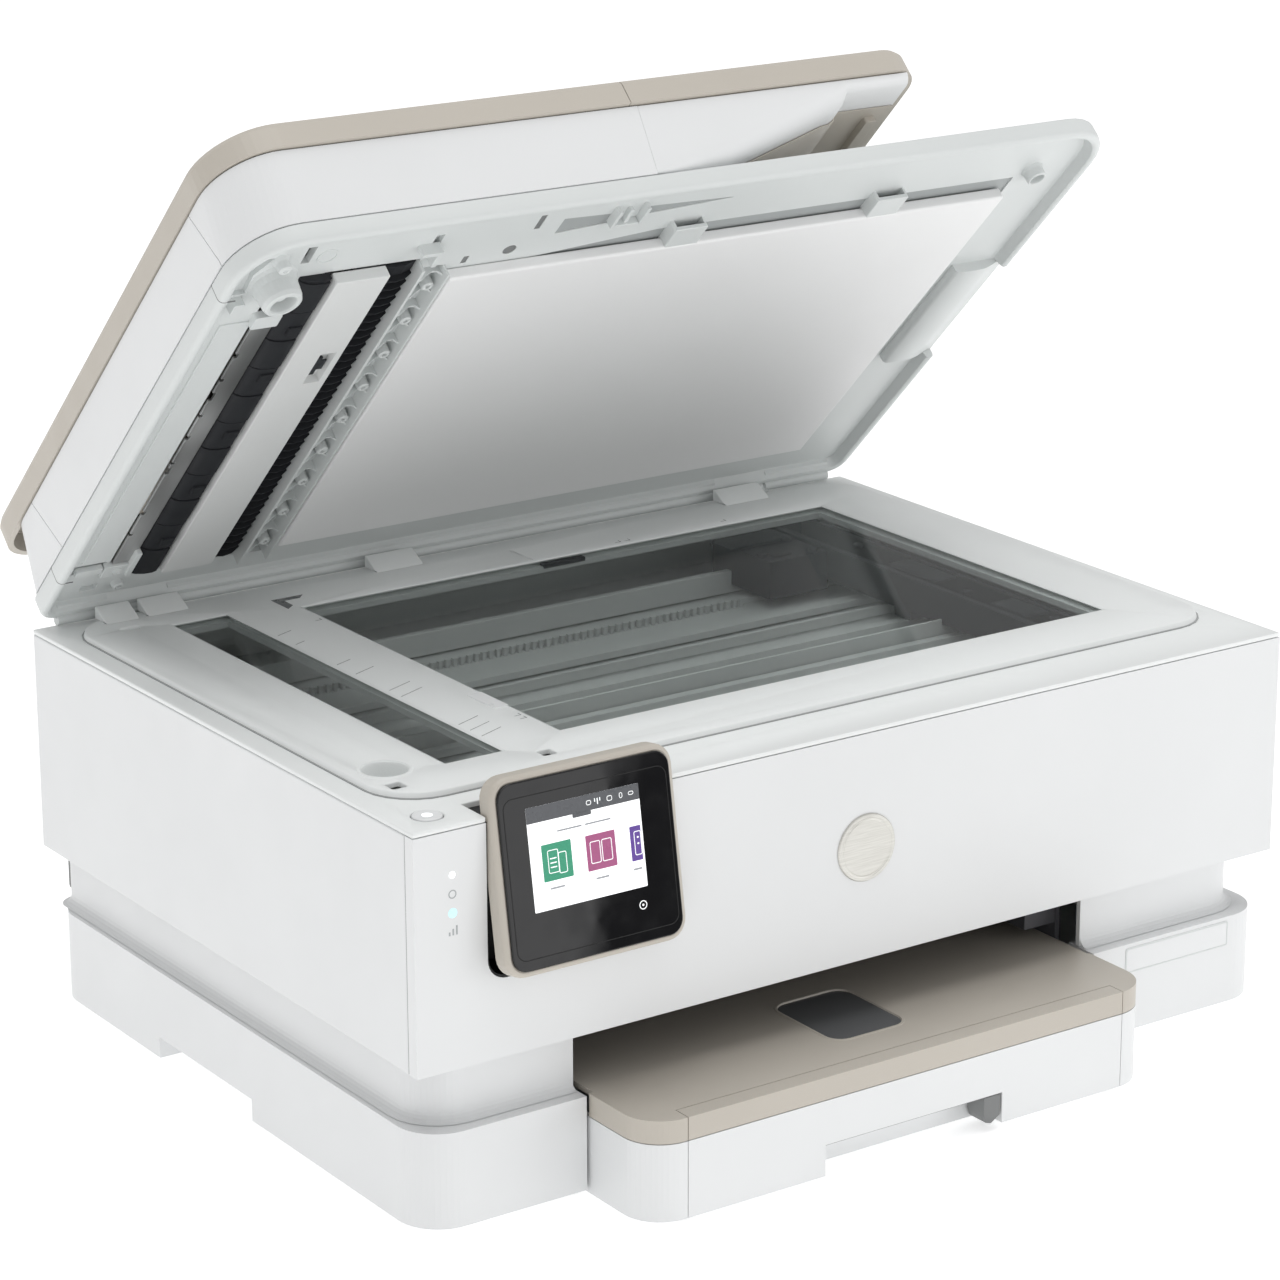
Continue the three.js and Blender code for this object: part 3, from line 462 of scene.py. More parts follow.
def dress(obj, material, body, edge=0.25, replaces=(), angle=38):
    obj.data.materials.clear()
    obj.data.materials.append(material)
    if edge:
        soften(obj, edge, angle)
    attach(obj, body)
    if replaces:
        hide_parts(*replaces)
    return obj


def recut(node, name, material, body, cuts, place=MACHINE, edge=0.4):
    """A copy of a CAD node with more cut out of it, shown in its place."""
    mesh = frame["nodes"][node].data.copy()
    obj = bpy.data.objects.new(name, mesh)
    bpy.context.scene.collection.objects.link(obj)
    carve(obj, cuts, place)
    return dress(obj, material, body, edge, (node,))


# ---------------------------------------------------------------- CAD nodes that stay visible
EDGES = {"base_tub": 1.0, "tray_bay": 1.0, "paper_tray": 0.6, "scanner_shell": 0.7, "front_panel": 0.7,
         "output_tray": 1.0, "output_extender": 1.0, "feeder_body": 0.8, "top_deck": 0.6}
THIN = {"platen_glass", "feeder_glass", "drive_belt", "main_board", "chassis", "carriage_rail"}


def dress_nodes():
    """Gives every CAD node its material and softens its hard edges."""
    slots = {s["node"]: s["material_slot"] for s in frame["record"]["subparts"]}
    for name, node in frame["nodes"].items():
        node.data.materials.clear()
        node.data.materials.append(BY_SLOT[slots[name]])
        soften(node, 0.15 if name in THIN else EDGES.get(name, 0.4))


dress_nodes()


# ---------------------------------------------------------------- driving dimensions
WAIST = (-222, 222, 9.5, 322, [20, 20, 6, 6])    # outline of the wall between tray module and scanner
WAIST_FOOT = 46.95
COVE = 4.2
LABEL = (143.4, 205.1, 32.6, 44.8)               # blank plate at the tray module's right end, x and z
FOOT_X = (-205, 205)
FOOT_Y = (26, 298)
FRONT_SEAM = 6.05                                # y of the joint between front panel and housing
SCREEN_X = (-179.8, -125.3)
SCREEN_Z = (-50.9, -8)
BUTTON = (-213.7, 15.3)
ICON_X = -212                                    # x of the lights and printed marks below the button
SOCKET = (-202.5, 66)
PLATFORM_Z = 181.2                               # top of the raised platform round the glasses
GLASS = (-117, 183, 66, 281.5)
STRIP_GLASS = (-179, -149.5, 57.5, 291)


def inside(box, gap):
    x0, x1, y0, y1 = box
    return (x0 + gap, x1 - gap, y0 + gap, y1 - gap)


# ---------------------------------------------------------------- base
def build_base():
    arc = [math.radians(a) for a in (0, 22, 45, 67, 90)]
    rings = [ring(WAIST, -COVE * (1 - math.sin(a)), WAIST_FOOT + COVE * (1 - math.cos(a))) for a in arc]
    rings += [ring(WAIST, 1, WAIST_FOOT + 4.15), ring(WAIST, 1, WAIST_FOOT)]
    tray_mouth = block(-149.6, 125.1, 0, 22, 40, 60)
    piece("waist_cove", loft(rings, closed=True), WHITE, "base", cuts=[tray_mouth], edge=0)
    piece("waist_rear_panel", plate(-219, 219, 50.5, 69.4, 0, 3.2, 3, 0.8, 0.2), GREY, "base",
          upright_at(325.4), edge=0)
    piece("label_frame", plate(*LABEL, 0.5, 0.85, 1.6, 0.15, 0.05), LIGHT, "base", FRONT_FACE,
          cuts=[block(*inside(LABEL, 0.6), 0.7, 2)], edge=0)
    piece("label_face", plate(*inside(LABEL, 0.8), 0.55, 0.82, 1.2, 0.1, 0.05), WHITE, "base",
          FRONT_FACE, edge=0)
    pad = [(9, 4.2), (9, 1.2), (8.2, 0.25), (6.4, 0.05), (6, 0.5), (0.01, 0.5)]
    corners = [(x, y) for y in FOOT_Y for x in FOOT_X]
    for index, (x, y) in enumerate(corners, 1):
        piece(f"foot_pad_{index}", turned(x, y, pad, 28), RUBBER, "base", edge=0,
              replaces=(f"foot_{index}",))


def build_rear():
    slots = [block(x, x + 2.2, 320, 330, 95, 118) for x in range(-60, 61, 6)]
    housing = recut("scanner_shell", "scanner_housing", WHITE, "scanner", slots, edge=0.7)
    even = housing.modifiers.new("even_normals", "WEIGHTED_NORMAL")
    even.keep_sharp = True
    even.weight = 100
    piece("scanner_vent_screen", plate(-62, 62, 93, 120, 0, 1, 2, 0.2, 0.2), CHARCOAL, "scanner",
          upright_at(325.2), edge=0)
    for name, side in (("left", -1), ("right", 1)):
        x0, x1 = sorted((side * 228.6, side * 229.95))
        seam = block(x0, x1, FRONT_SEAM, FRONT_SEAM + 0.35, 74.4, 175.6)
        piece(f"side_seam_{name}", seam, GREY, "scanner", edge=0)


# ---------------------------------------------------------------- trays
def build_trays():
    x0, x1 = -57.4, 37.8                         # ends of the finger slot in the drawer's front
    band = [(-42.95, 16.75), (-42.95, 19.0), (-40.2, 19.0), (-40.2, 16.75), (-41.2, 16.2), (-42.4, 16.2)]
    piece("tray_slot_band", prism(band, x0 + 0.4, x1 - 0.4), GREY, "paper_tray", edge=0.2)
    post = [(x1 - 0.5, 6.5), (x1 - 5.5, 3.2), (x1 - 8.5, 4.2), (x1 - 9.8, 8), (x1 - 9.8, 16.3),
            (x1 - 0.5, 16.3)]
    piece("tray_slot_post", prism(post, -42.6, -31, "y"), GREY, "paper_tray", edge=0.5)
    window = (-31.9, 7.9, -15.9, 31.9, 7.9)
    section = [(-1.1, 47.52), (-0.9, 47.75), (0.2, 47.7), (0.5, 46.9), (0.3, 46.2), (-0.2, 46.9)]
    rings = [ring(window, inset, z) for inset, z in section]
    piece("window_bezel", loft(rings, closed=True), BEIGE, "base", edge=0)


# ---------------------------------------------------------------- print engine openings
def build_cavity():
    ribs = [block(x, x + 1.4, 60, 103, 69.6, 70.6) for x in range(-140, 100, 12)]
    piece("cavity_ribs", together(*ribs), CHARCOAL, "base", edge=0.15)
    stars = []
    for x in range(-120, 101, 44):
        wheel = turned(0, 0, [(0.4, -1.2), (5.6, -0.7), (5.6, 0.7), (0.4, 1.2)], 24)
        wheel.transform(Matrix.Translation((x, 106, 64)) @ SIDEWAYS)
        stars.append(wheel)
    piece("star_wheels", together(*stars), CHARCOAL, "base", edge=0)


# ---------------------------------------------------------------- front panel
def build_front():
    badge = [(15.2, 0.02), (15.2, 0.5), (14.8, 0.85), (13.6, 0.95), (13.2, 0.8), (12.8, 0.8),
             (12.4, 0.95), (0.01, 1.0)]
    piece("round_badge", turned(-5, 125.2, badge, 64), METAL, "scanner", FRONT_FACE, edge=0)
    status = [(1.5, 0.02), (1.5, 0.12), (1.2, 0.2), (0.01, 0.22)]
    piece("status_light", turned(ICON_X, 157.7, status, 20), GLOW_WHITE, "scanner", FRONT_FACE, edge=0)
    network = [(2.0, 0.02), (2.0, 0.1), (1.6, 0.18), (0.01, 0.2)]
    piece("network_light", turned(ICON_X, 141.5, network, 20), GLOW_BLUE, "scanner", FRONT_FACE, edge=0)
    circlet = [(1.9, 0.02), (1.9, 0.06), (1.4, 0.06), (1.4, 0.02)]
    marks = [turned(ICON_X, 149.5, circlet, 20, closed=True)]
    for index, length in enumerate((1.6, 2.8, 4.0)):
        x = ICON_X - 2 + 1.7 * index
        marks.append(plate(x, x + 0.8, 132, 132 + length, 0.02, 0.06, 0.2, 0.01, 0.01))
    piece("printed_icons", together(*marks), PRINT, "scanner", FRONT_FACE, edge=0)
    dome = [(6.25, 178.2), (6.2, 178.5), (5.6, 178.9), (3.0, 178.75), (0.01, 178.6)]
    piece("button_dome", turned(*BUTTON, dome, 40), WHITE, "power_button", edge=0)
    lamp = [(2.3, 178.6), (2.2, 178.8), (0.01, 178.86)]
    piece("button_light", turned(*BUTTON, lamp, 24), GLOW_WHITE, "power_button", edge=0)
    opening = (-195.6, -106.1, 108.6, 176.2, [8.8, 8.8, 0.1, 0.1])
    walls = [ring(opening, inset, z) for inset, z in ((0, -18.7), (0, -0.7), (0.7, -0.7), (0.7, -18.0))]
    piece("pocket_liner", loft(walls), BLACK_MATT, "scanner", FRONT_FACE, edge=0)


# ---------------------------------------------------------------- touch panel
# Heights of the printed layers over the panel's back plane.
SCREEN_LAYER = (10.62, 10.68)
TILE_LAYER = (10.69, 10.73)
ICON_LAYER = (10.74, 10.77)


def hollow_frame(x0, x1, z0, z1, width, low, high, r=0.8):
    outline = (x0, x1, z0, z1, r)
    section = ((0, low), (0, high), (width, high), (width, low))
    return loft([ring(outline, inset, z) for inset, z in section], closed=True)


def flat(name, shapes, material, layer):
    """Printed shapes on the panel's face: (x0, x1, z0, z1) is filled, a fifth number makes a frame."""
    low, high = layer
    bodies = []
    for shape in shapes:
        if len(shape) == 4:
            bodies.append(plate(*shape, low, high, 0.4, 0.01, 0.01, 3))
        else:
            bodies.append(hollow_frame(*shape, low, high))
    piece(name, together(*bodies), material, "control_panel", PANEL_FACE, edge=0)


def build_panel():
    panel = (-195, -106.7, -76.5, 6)
    outline = (*panel, 9)
    rings = [ring(outline, 3.2, 1.4), ring(outline, 0, 1.6)]
    rings += [ring(outline, d, 9.6 - h) for d, h in reversed(quarter(2.2, 5))]
    rings += [ring(outline, 2.9, 9.3), ring(outline, 2.95, 7.4)]
    back = (*inside(panel, 3), 6)
    hollow = loft([ring(back, 0, -1), ring(back, 0, 7.0)])
    piece("panel_bezel", loft(rings), BEIGE, "control_panel", PANEL_FACE, cuts=[hollow], edge=0,
          replaces=("panel_shell",))
    piece("panel_arm", turned(0, 0, [(3, -170), (3, -132)], 20), BEIGE, "control_panel",
          PANEL @ SIDEWAYS, edge=0.3)
    face = (*inside(panel, 2.7), 6.8)
    glass_rings = [ring(face, 0.2, 9.5), ring(face, 0, 9.7)]
    glass_rings += [ring(face, d, 10.6 - h) for d, h in reversed(quarter(0.5, 3))]
    piece("panel_face", loft(glass_rings), BLACK, "control_panel", PANEL_FACE, edge=0,
          replaces=("panel_glass",))
    line = hollow_frame(-190.2, -111.2, -69.4, -2.8, 0.4, 10.5, 10.64, 4.6)
    piece("panel_line", line, PANEL_LINE, "control_panel", PANEL_FACE, edge=0)


def build_screen():
    x0, x1, z0, z1 = *SCREEN_X, *SCREEN_Z
    flat("screen", [(x0, x1, z0, z1)], SCREEN_WHITE, SCREEN_LAYER)
    flat("screen_bar", [(x0, x1, -14.6, z1), (-158, -149, -16.2, -14.4)], SCREEN_GREY, TILE_LAYER)
    flat("tile_green", [(-174.2, -160, -39.4, -24.2)], SCREEN_GREEN, TILE_LAYER)
    flat("tile_magenta", [(-153, -138.8, -39.4, -24.6)], SCREEN_MAGENTA, TILE_LAYER)
    flat("tile_purple", [(-131.6, -126.2, -39.6, -25.2)], SCREEN_PURPLE, TILE_LAYER)
    two_sheets = [(-171.6, -166.4, -36.4, -26.8, 0.35), (-166.6, -162.6, -37.2, -28.4, 0.35)]
    two_sheets += [(-170.6, -167.4, z, z + 0.5) for z in (-30.6, -32.4, -34.2)]
    open_book = [(x, x + 5, -36.6, -27.4, 0.35) for x in (-151.2, -145.6)]
    next_page = [(-129.8, -126.3, -37.4, -27.4, 0.35), (-128.4, -127.4, -30.4, -29.6),
                 (-128.4, -127.4, -33, -32.2)]
    status_row = [(-151, -148.6, -12.4, -10.4, 0.3), (-145.8, -145.3, -12.8, -10.2),
                  (-147, -146.6, -11.6, -10.2), (-144.5, -144.1, -11.6, -10.2),
                  (-141, -138.4, -12.6, -10.4, 0.3), (-135, -133.4, -12.6, -10.2, 0.3),
                  (-130.6, -128, -12.2, -10.6, 0.3)]
    flat("screen_icons", two_sheets + open_book + next_page + status_row, SCREEN_INK, ICON_LAYER)
    captions = [(-171.6, -164.6, -42.9, -42.1), (-149.6, -143.2, -43.3, -42.5),
                (-131.4, -127, -43.4, -42.6), (-166, -154, -20.2, -19.5), (-152.6, -140, -20.2, -19.5)]
    flat("screen_lines", captions, SCREEN_TEXT, TILE_LAYER)
    low, high = SCREEN_LAYER
    circlet = [(1.9, low), (1.9, high), (1.5, high), (1.5, low)]
    help_mark = [turned(-128.3, -58.3, circlet, 24, closed=True),
                 turned(-128.3, -58.3, [(0.5, low), (0.5, high)], 16)]
    piece("help_mark", together(*help_mark), SCREEN_INK, "control_panel", PANEL_FACE, edge=0)


# ---------------------------------------------------------------- deck and scan glass
MARK_Z = PLATFORM_Z + 0.01
SEAL_LAP = 0.2                    # how far a glass seal runs past the glass


def build_deck():
    arc = [math.radians(15 * k) for k in range(24)]
    oval = [(-196.7 + 3.4 * math.cos(a) + math.copysign(1.8, math.cos(a)), 297 + 2.2 * math.sin(a))
            for a in arc]
    cuts = [prism(oval, 179, 190, "z"), block(14, 38.4, 276.6, 281, 170, 190),
            block(11.6, 12.6, 283.5, 303, 180.6, 190)]
    # The deck pieces take the brighter white: painted light.
    recut("top_deck", "deck", DECK_PAINTED_LIGHT, "scanner", cuts, edge=0.6)
    cup = [(12, 170.5), (12, 181.0), (11.4, 181.5), (10.3, 181.4), (9.7, 179.8), (9.4, 171.5),
           (3.6, 171.5), (3.4, 176.4), (2.4, 176.8), (0.01, 176.8)]
    piece("locating_socket", turned(*SOCKET, cup, 48), DECK_PAINTED_LIGHT, "scanner", edge=0)
    insert = plate(14.3, 38.1, 276.9, 280.9, 176.5, 179.2, 0.4, 0.2, 0.1)
    piece("glass_slot_insert", insert, CHARCOAL, "scanner", edge=0)
    pad = [plate(-124.2, -116.6, 105.5, 127.5, 181.1, 181.6, 0.8, 0.3, 0.05),
           plate(-123.4, -119.6, 121, 125.6, 181.5, 181.75, 0.6, 0.1, 0.05)]
    piece("glass_pad", together(*pad), WHITE, "scanner", cuts=[block(-125, -121.8, 108, 111, 181.3, 184)],
          edge=0)
    corner = [(-123.4, 297.1), (-106.6, 297.1), (-110.3, 293.2), (-118.7, 293.2), (-118.7, 285),
              (-123.4, 281.1)]
    piece("corner_arrow", prism(corner, MARK_Z, MARK_Z + 0.06, "z"), PRINT_DARK, "scanner", edge=0)
    build_size_marks()
    for name, glass in (("platen_seal", GLASS), ("strip_seal", STRIP_GLASS)):
        outline = (*inside(glass, -SEAL_LAP), 0.3)
        section = ((0, 180.62), (0, 181.24), (1.1, 180.72), (1.1, 180.62))
        rings = [ring(outline, inset, z) for inset, z in section]
        piece(name, loft(rings, closed=True), DECK_PAINTED_LIGHT, "scanner", edge=0)
    # A grey band round the platform's foot: painted shade along the bottom of its wall.
    foot = (-219.6, 221.1, 29.9, 318.1, [24.1] * 4)
    section = ((-0.05, 178.2), (-0.05, 179.0), (1.2, 179.0), (1.2, 178.2))
    rings = [ring(foot, inset, z) for inset, z in section]
    piece("platform_foot_shade_band", loft(rings, closed=True), PLATFORM_FOOT_SHADE, "scanner", edge=0)
    cover = [(307.2, 181.15), (308.2, 181.7), (317.2, 186.6), (319, 186.9), (319, 181.15)]
    for index, (x0, x1) in enumerate(((-203, -186), (-181.5, -160.5), (-60, -34), (143, 170)), 1):
        piece(f"hinge_cover_{index}", prism(cover, x0, x1), DECK_PAINTED_LIGHT, "scanner", edge=0.6)


def build_size_marks():
    """Slanted lines and small corner ticks that stand for paper sizes, without figures."""
    left, slope, width = -147.8, 0.42, 0.35
    slants = ((248, 9), (232, 6), (196, 9), (180, 12), (152, 14), (142, 14), (96, 13), (87, 13), (78, 13))
    lines = []
    for y, reach in slants:
        rise = slope * reach
        slant = [(left, y), (left, y + width), (left + reach, y + width + rise), (left + reach, y + rise)]
        lines.append(prism(slant, MARK_Z, MARK_Z + 0.04, "z"))
    ticks = ((-122.4, 92), (-122.4, 87.6), (-122.4, 258), (60.5, 284.5), (66, 284.5), (124, 285.5))
    for x, y in ticks:
        lines.append(block(x, x + 3.4, y, y + 0.3, MARK_Z, MARK_Z + 0.04))
        lines.append(block(x + 3.1, x + 3.4, y, y + 2.6, MARK_Z, MARK_Z + 0.04))
    piece("size_marks", together(*lines), PRINT_DARK, "scanner", edge=0)


# ---------------------------------------------------------------- inside the scanner
def build_scanner_inside():
    rails = ((98, 3, 158), (140, 5, 153), (146, 1.6, 160), (196, 2, 154), (214, 8, 152.5), (268, 4, 160))
    shelf = [block(-221, 215, y, y + width, 149, top) for y, width, top in rails]
    piece("scanner_floor_rails", together(*shelf), PAN, "scanner", edge=0.4)
    for node, material in (("scanner_pan", PAN), ("cavity_liner", CAVITY), ("scan_carriage", CARRIAGE)):
        frame["nodes"][node].data.materials[0] = material
    teeth = [block(x, x + 1.6, 248.4, 250.6, 148, 151.9) for x in range(-215, 112, 4)]
    piece("rack_teeth", together(*teeth), PAN, "scanner", edge=0)
    caps = [plate(112, 150, 262, 278, 172.2, 173.6, 1.5, 0.4, 0.1),
            plate(124, 134, 240, 250, 172.2, 173.2, 1, 0.3, 0.1)]
    caps += [plate(158, 172, y0, y1, 173, 174.3, 1, 0.4, 0.1) for y0, y1 in ((92, 118), (160, 196))]
    screw = [(2.6, 172.2), (2.6, 173.8), (1.4, 174.2), (0.01, 173.8)]
    caps += [turned(x, y, screw, 16)
             for x, y in ((120, 246), (146, 240), (146, 262), (168, 84), (162, 140), (168, 232))]
    piece("scan_carriage_fittings", together(*caps), CARRIAGE, "scan_carriage", edge=0)


# ---------------------------------------------------------------- lid underside
# In the lid's own frame s is the distance from the hinge line (so y = -s) and n stands off the lid's
# closing plane, into the lid. The underside's flat field is at FIELD_N.
FIELD_N = 6.0
OUTSIDE = -5                      # n where a cut starts, clear of the lid
THROUGH = 20                      # n where a cut ends that goes right through
KNUCKLES = ((-219, -193.5), (-162.5, 148.5), (179.5, 219))


def lid_block(x0, x1, s0, s1, n0, n1):
    return block(x0, x1, -s1, -s0, n0, n1)


def lid_plate(x0, x1, s0, s1, n0, n1, r=1.0, bottom=0.4, top=0.1):
    return plate(x0, x1, -s1, -s0, n0, n1, r, top, bottom)


def lid_prism(outline, n0, n1):
    return prism([(x, -s) for x, s in outline], n0, n1, "z")


def lid_turned(x, s, profile, sides):
    return turned(x, -s, profile[::-1], sides)


def lid_piece(name, bm, material=LIGHT, edge=0, **settings):
    return piece(name, bm, material, "lid", LID, edge=edge, **settings)


def build_lid_frame():
    outline = (-229, 229, -296, 0, [28, 28, 10, 10])
    rings = [ring(outline, 6.4, FIELD_N, 8), ring(outline, 4.6, 1.0, 8), ring(outline, 3.4, 0.25, 8)]
    rings += [ring(outline, d, 0.25 + h, 8) for d, h in quarter(2.4, 4)]
    rings += [ring(outline, d, 9.5 - h, 8) for d, h in reversed(quarter(0.9, 3))]
    cuts = [lid_block(x0, x1, s0, s1, OUTSIDE, depth) for x0, x1, s0, s1, depth in (
        (-201, -131.5, 21, 252, THROUGH), (-178, -131.5, 250, 260.4, THROUGH),
        (-193.5, -189.4, 270, 281.5, THROUGH), (-130.4, -126.4, 268, 277, 8.5),
        (-108.6, -105.9, 251.8, 257, THROUGH), (-80, -77, 271, 281, THROUGH))]
    cuts.append(turned(-86, -257.3, [(3.2, OUTSIDE), (3.2, 8.6)], 24))
    cuts += [lid_prism([(-66.6, 265), (-66.2, 275.9), (-37, 274.6), (-34, 268.4)], OUTSIDE, 8),
             lid_prism([(-24, 270.3), (-22, 276.5), (23, 274.6), (22, 274.1)], OUTSIDE, 7.6),
             lid_prism([(-88, 246.8), (-9, 256.6), (191, 256.6), (191, 245), (-88, 245)], OUTSIDE, 7.4)]
    cuts += [lid_block(x0, x1, s0, s1, OUTSIDE, depth) for x0, x1, s0, s1, depth in (
        (-112, 191, 243.4, 245.2, 8.8), (-131, -116.2, 20, 253, 8.8), (-222.6, -219.8, 40, 246, 8.6))]
    crescent = [(-221, 253), (-221.5, 262), (-212, 277.5), (-208, 277), (-214, 266), (-213, 253)]
    cuts.append(lid_prism(crescent, OUTSIDE, 8.4))
    cuts += [lid_block(-220, -203, 29.5, 36.5, OUTSIDE, 8.2), lid_block(-209, -201, 12, 17, OUTSIDE, 8.2),
             lid_block(205, 240, 106, 184.5, OUTSIDE, 5.4)]
    cuts += [lid_block(x, x + 30, -1, 2.8, OUTSIDE, 2.8) for x in (-193, 149)]
    lid_piece("lid_underside", loft(rings), cuts=cuts, edge=0.18, replaces=("lid_frame",))
    grip = [(197.5, 6.2), (197.5, 2.6), (199, 1.2), (211, 1.0), (215, 1.3), (219, 2.3), (223, 3.7),
            (226.5, 4.7), (229, 5.1), (229, 8.8), (226, 8.8), (220, 6.2)]
    lid_piece("lid_finger_grip", prism(grip, -184.3, -106.2, "y"), edge=0.2, angle=50)
    barrels = [turned(0, 0, [(2.6, a), (2.6, b)], 20) for a, b in KNUCKLES]
    piece("lid_knuckles", together(*barrels), LIGHT, "lid", LID @ SIDEWAYS, edge=0)
    web = [(-6.2, 6.1), (-6.2, 3.6), (-2, 0.2), (0, 0), (0, 6.1)]
    lid_piece("lid_hinge_web", together(*[prism(web, a, b) for a, b in KNUCKLES]), edge=0.3)


def build_lid_recesses():
    """Darker floors that fill the underside's cut recesses, slots and groove to just below its surface:
    painted shade.
    """
    pockets = [lid_prism([(-66.5, 265.1), (-66.1, 275.8), (-37.1, 274.5), (-34.1, 268.5)], 6.5, 7.9),
               lid_prism([(-23.8, 270.4), (-21.9, 276.3), (22.9, 274.5), (21.9, 274.2)], 6.4, 7.5),
               lid_prism([(-87.8, 246.9), (-9, 256.5), (190.9, 256.5), (190.9, 245.3), (-87.8, 245.3)],
                         6.7, 7.3)]
    lid_piece("lid_pocket_painted_shade", together(*pockets), SHADE)
    # The slots, the round hole and the rim groove get grey floors: painted shade.
    slots = ((-79.9, -77.1, 271.1, 280.9), (-108.5, -106, 251.9, 256.9))
    groove = (-222.5, -219.9, 40.1, 245.9)
    floors = [lid_block(*box, 6.3, 8.5) for box in slots]
    floors += [turned(-86, -257.3, [(0.01, 6.4), (3.1, 6.4), (3.1, 8.5)], 24), lid_block(*groove, 6.3, 8.5)]
    lid_piece("lid_hole_painted_shade", together(*floors), GREY)


def build_lid_fittings():
    boss = [(11.2, 6.1), (10.2, 4.6), (9.4, 1.5), (8.9, -4.2), (8.2, -6.0), (7.2, -6.5), (6.2, -6.4),
            (5.8, -5.6), (5.4, 1.0), (2.6, 1.4), (2.4, -2.8), (0.01, -3.0)]
    lid_piece("locating_boss", lid_turned(-202.5, 260, boss, 40))
    pin = [(4.2, 6.1), (3.2, 4.0), (2.9, 0.9), (2.2, 0.35), (1.2, 0.35), (1.0, 0.9), (0.01, 0.9)]
    lid_piece("lid_pin", lid_turned(-204.5, 275, pin, 24))
    bumper = [(5.6, 6.1), (4.9, 4.6), (4.7, 0.9), (4.2, 0.35), (3.7, 0.35), (3.4, 0.9), (3.3, 4.5),
              (0.01, 4.6)]
    lid_piece("lid_bumper", lid_turned(199.5, 261, bumper, 32))
    mark = turned(-181.7, -273.2, [(5.0, 6.1), (4.8, 5.6), (4.1, 5.6), (3.9, 6.1)], 28, closed=True)
    lid_piece("lid_ring_mark", mark)
    hook = together(lid_plate(-137.2, -126.6, 269.2, 271.6, 0.6, 6.3, 0.8),
                    lid_plate(-128.6, -126, 259.5, 271, 1.4, 6.3, 0.8))
    lid_piece("lid_hook", hook)
    clip = [lid_plate(-41.6, -39.8, 268.5, 280, 2.2, 7.9, 0.5),
            lid_plate(-27, -25.2, 269, 280.5, 2.2, 7.9, 0.5),
            lid_plate(-39.8, -27, 268.5, 270.2, 2.4, 7.9, 0.5),
            lid_plate(-34.6, -32.6, 270, 279, 3.6, 7.9, 0.5)]
    lid_piece("lid_wedge_clip", together(*clip))
    for index, x in enumerate((4.5, 115.5), 1):
        shell = plate(x - 8.8, x + 8.8, -261.8, -247.2, 0.7, 7.5, 0.9, 0.1, 0.5)
        mouth = block(x - 7.3, x + 7.3, -270, -249.8, 2.6, 7.0)
        lid_piece(f"lid_box_clip_{index}", shell, cuts=[mouth])
    lid_piece("lid_flat_strip", lid_plate(-216.6, -202, 38.5, 231, 5.2, 6.4, 0.6))
    teeth = ((60, 2), (78, 3), (112, 5), (120, 2), (140, 3), (158, 2), (171, 6), (186, 2), (204, 3))
    notches = [lid_block(-201, -198.9, s, s + width, 0, 9) for s, width in teeth]
    strip = lid_plate(-200.6, -190.4, 36, 228, 4.6, 5.8, 0.6, 0.2)
    lid_piece("lid_steel_strip", strip, STRIP_STEEL, cuts=notches, edge=0.1)
    build_rim_seams()
    clips = [lid_plate(-203, -190, 228.5, 237, 2.6, 6.4, 1), lid_plate(-204.5, -190.5, 26, 35.5, 3.4, 6.4, 1),
             lid_turned(-197, 31, [(2.6, 6.2), (2.4, 2.8), (1.2, 2.4), (0.01, 2.8)], 18),
             lid_plate(-192.5, -189.5, 27, 46, 2.0, 6.4, 0.8),
             lid_plate(-218.8, -213.4, 244, 251.5, 1.6, 6.4, 1.4),
             lid_plate(-218.2, -205, 30.8, 35, 3.6, 6.4, 0.6),
             lid_turned(-191.4, 15.4, [(3, 6.1), (2.7, 3.4), (1.7, 3.0), (1.5, 5), (0.01, 5)], 20)]
    lid_piece("lid_strip_clips", together(*clips))


def build_rim_seams():
    """Thin joint lines that wrap the lid's left rim, just proud of it."""
    bend = [math.radians(a) for a in (18, 36, 54, 72)]
    rim = [(-228.99, 9.3), (-228.99, 2.65)]
    rim += [(-226.61 - 2.4 * math.cos(a), 2.66 - 2.4 * math.sin(a)) for a in bend]
    rim += [(-226.6, 0.26), (-221.5, 0.26)]
    band = [(x - 0.04, n - 0.04) for x, n in rim]
    band += [(-221.5, 0.6), (-226.4, 0.6), (-228.6, 2.9), (-228.6, 9.3)]
    lid_piece("lid_rim_seams", together(*[prism(band, -s - 0.2, -s + 0.2, "y") for s in (257.8, 34)]), GREY)


GUIDE_START, GUIDE_LENGTH, GUIDE_TILES = -259, 233.0, 11


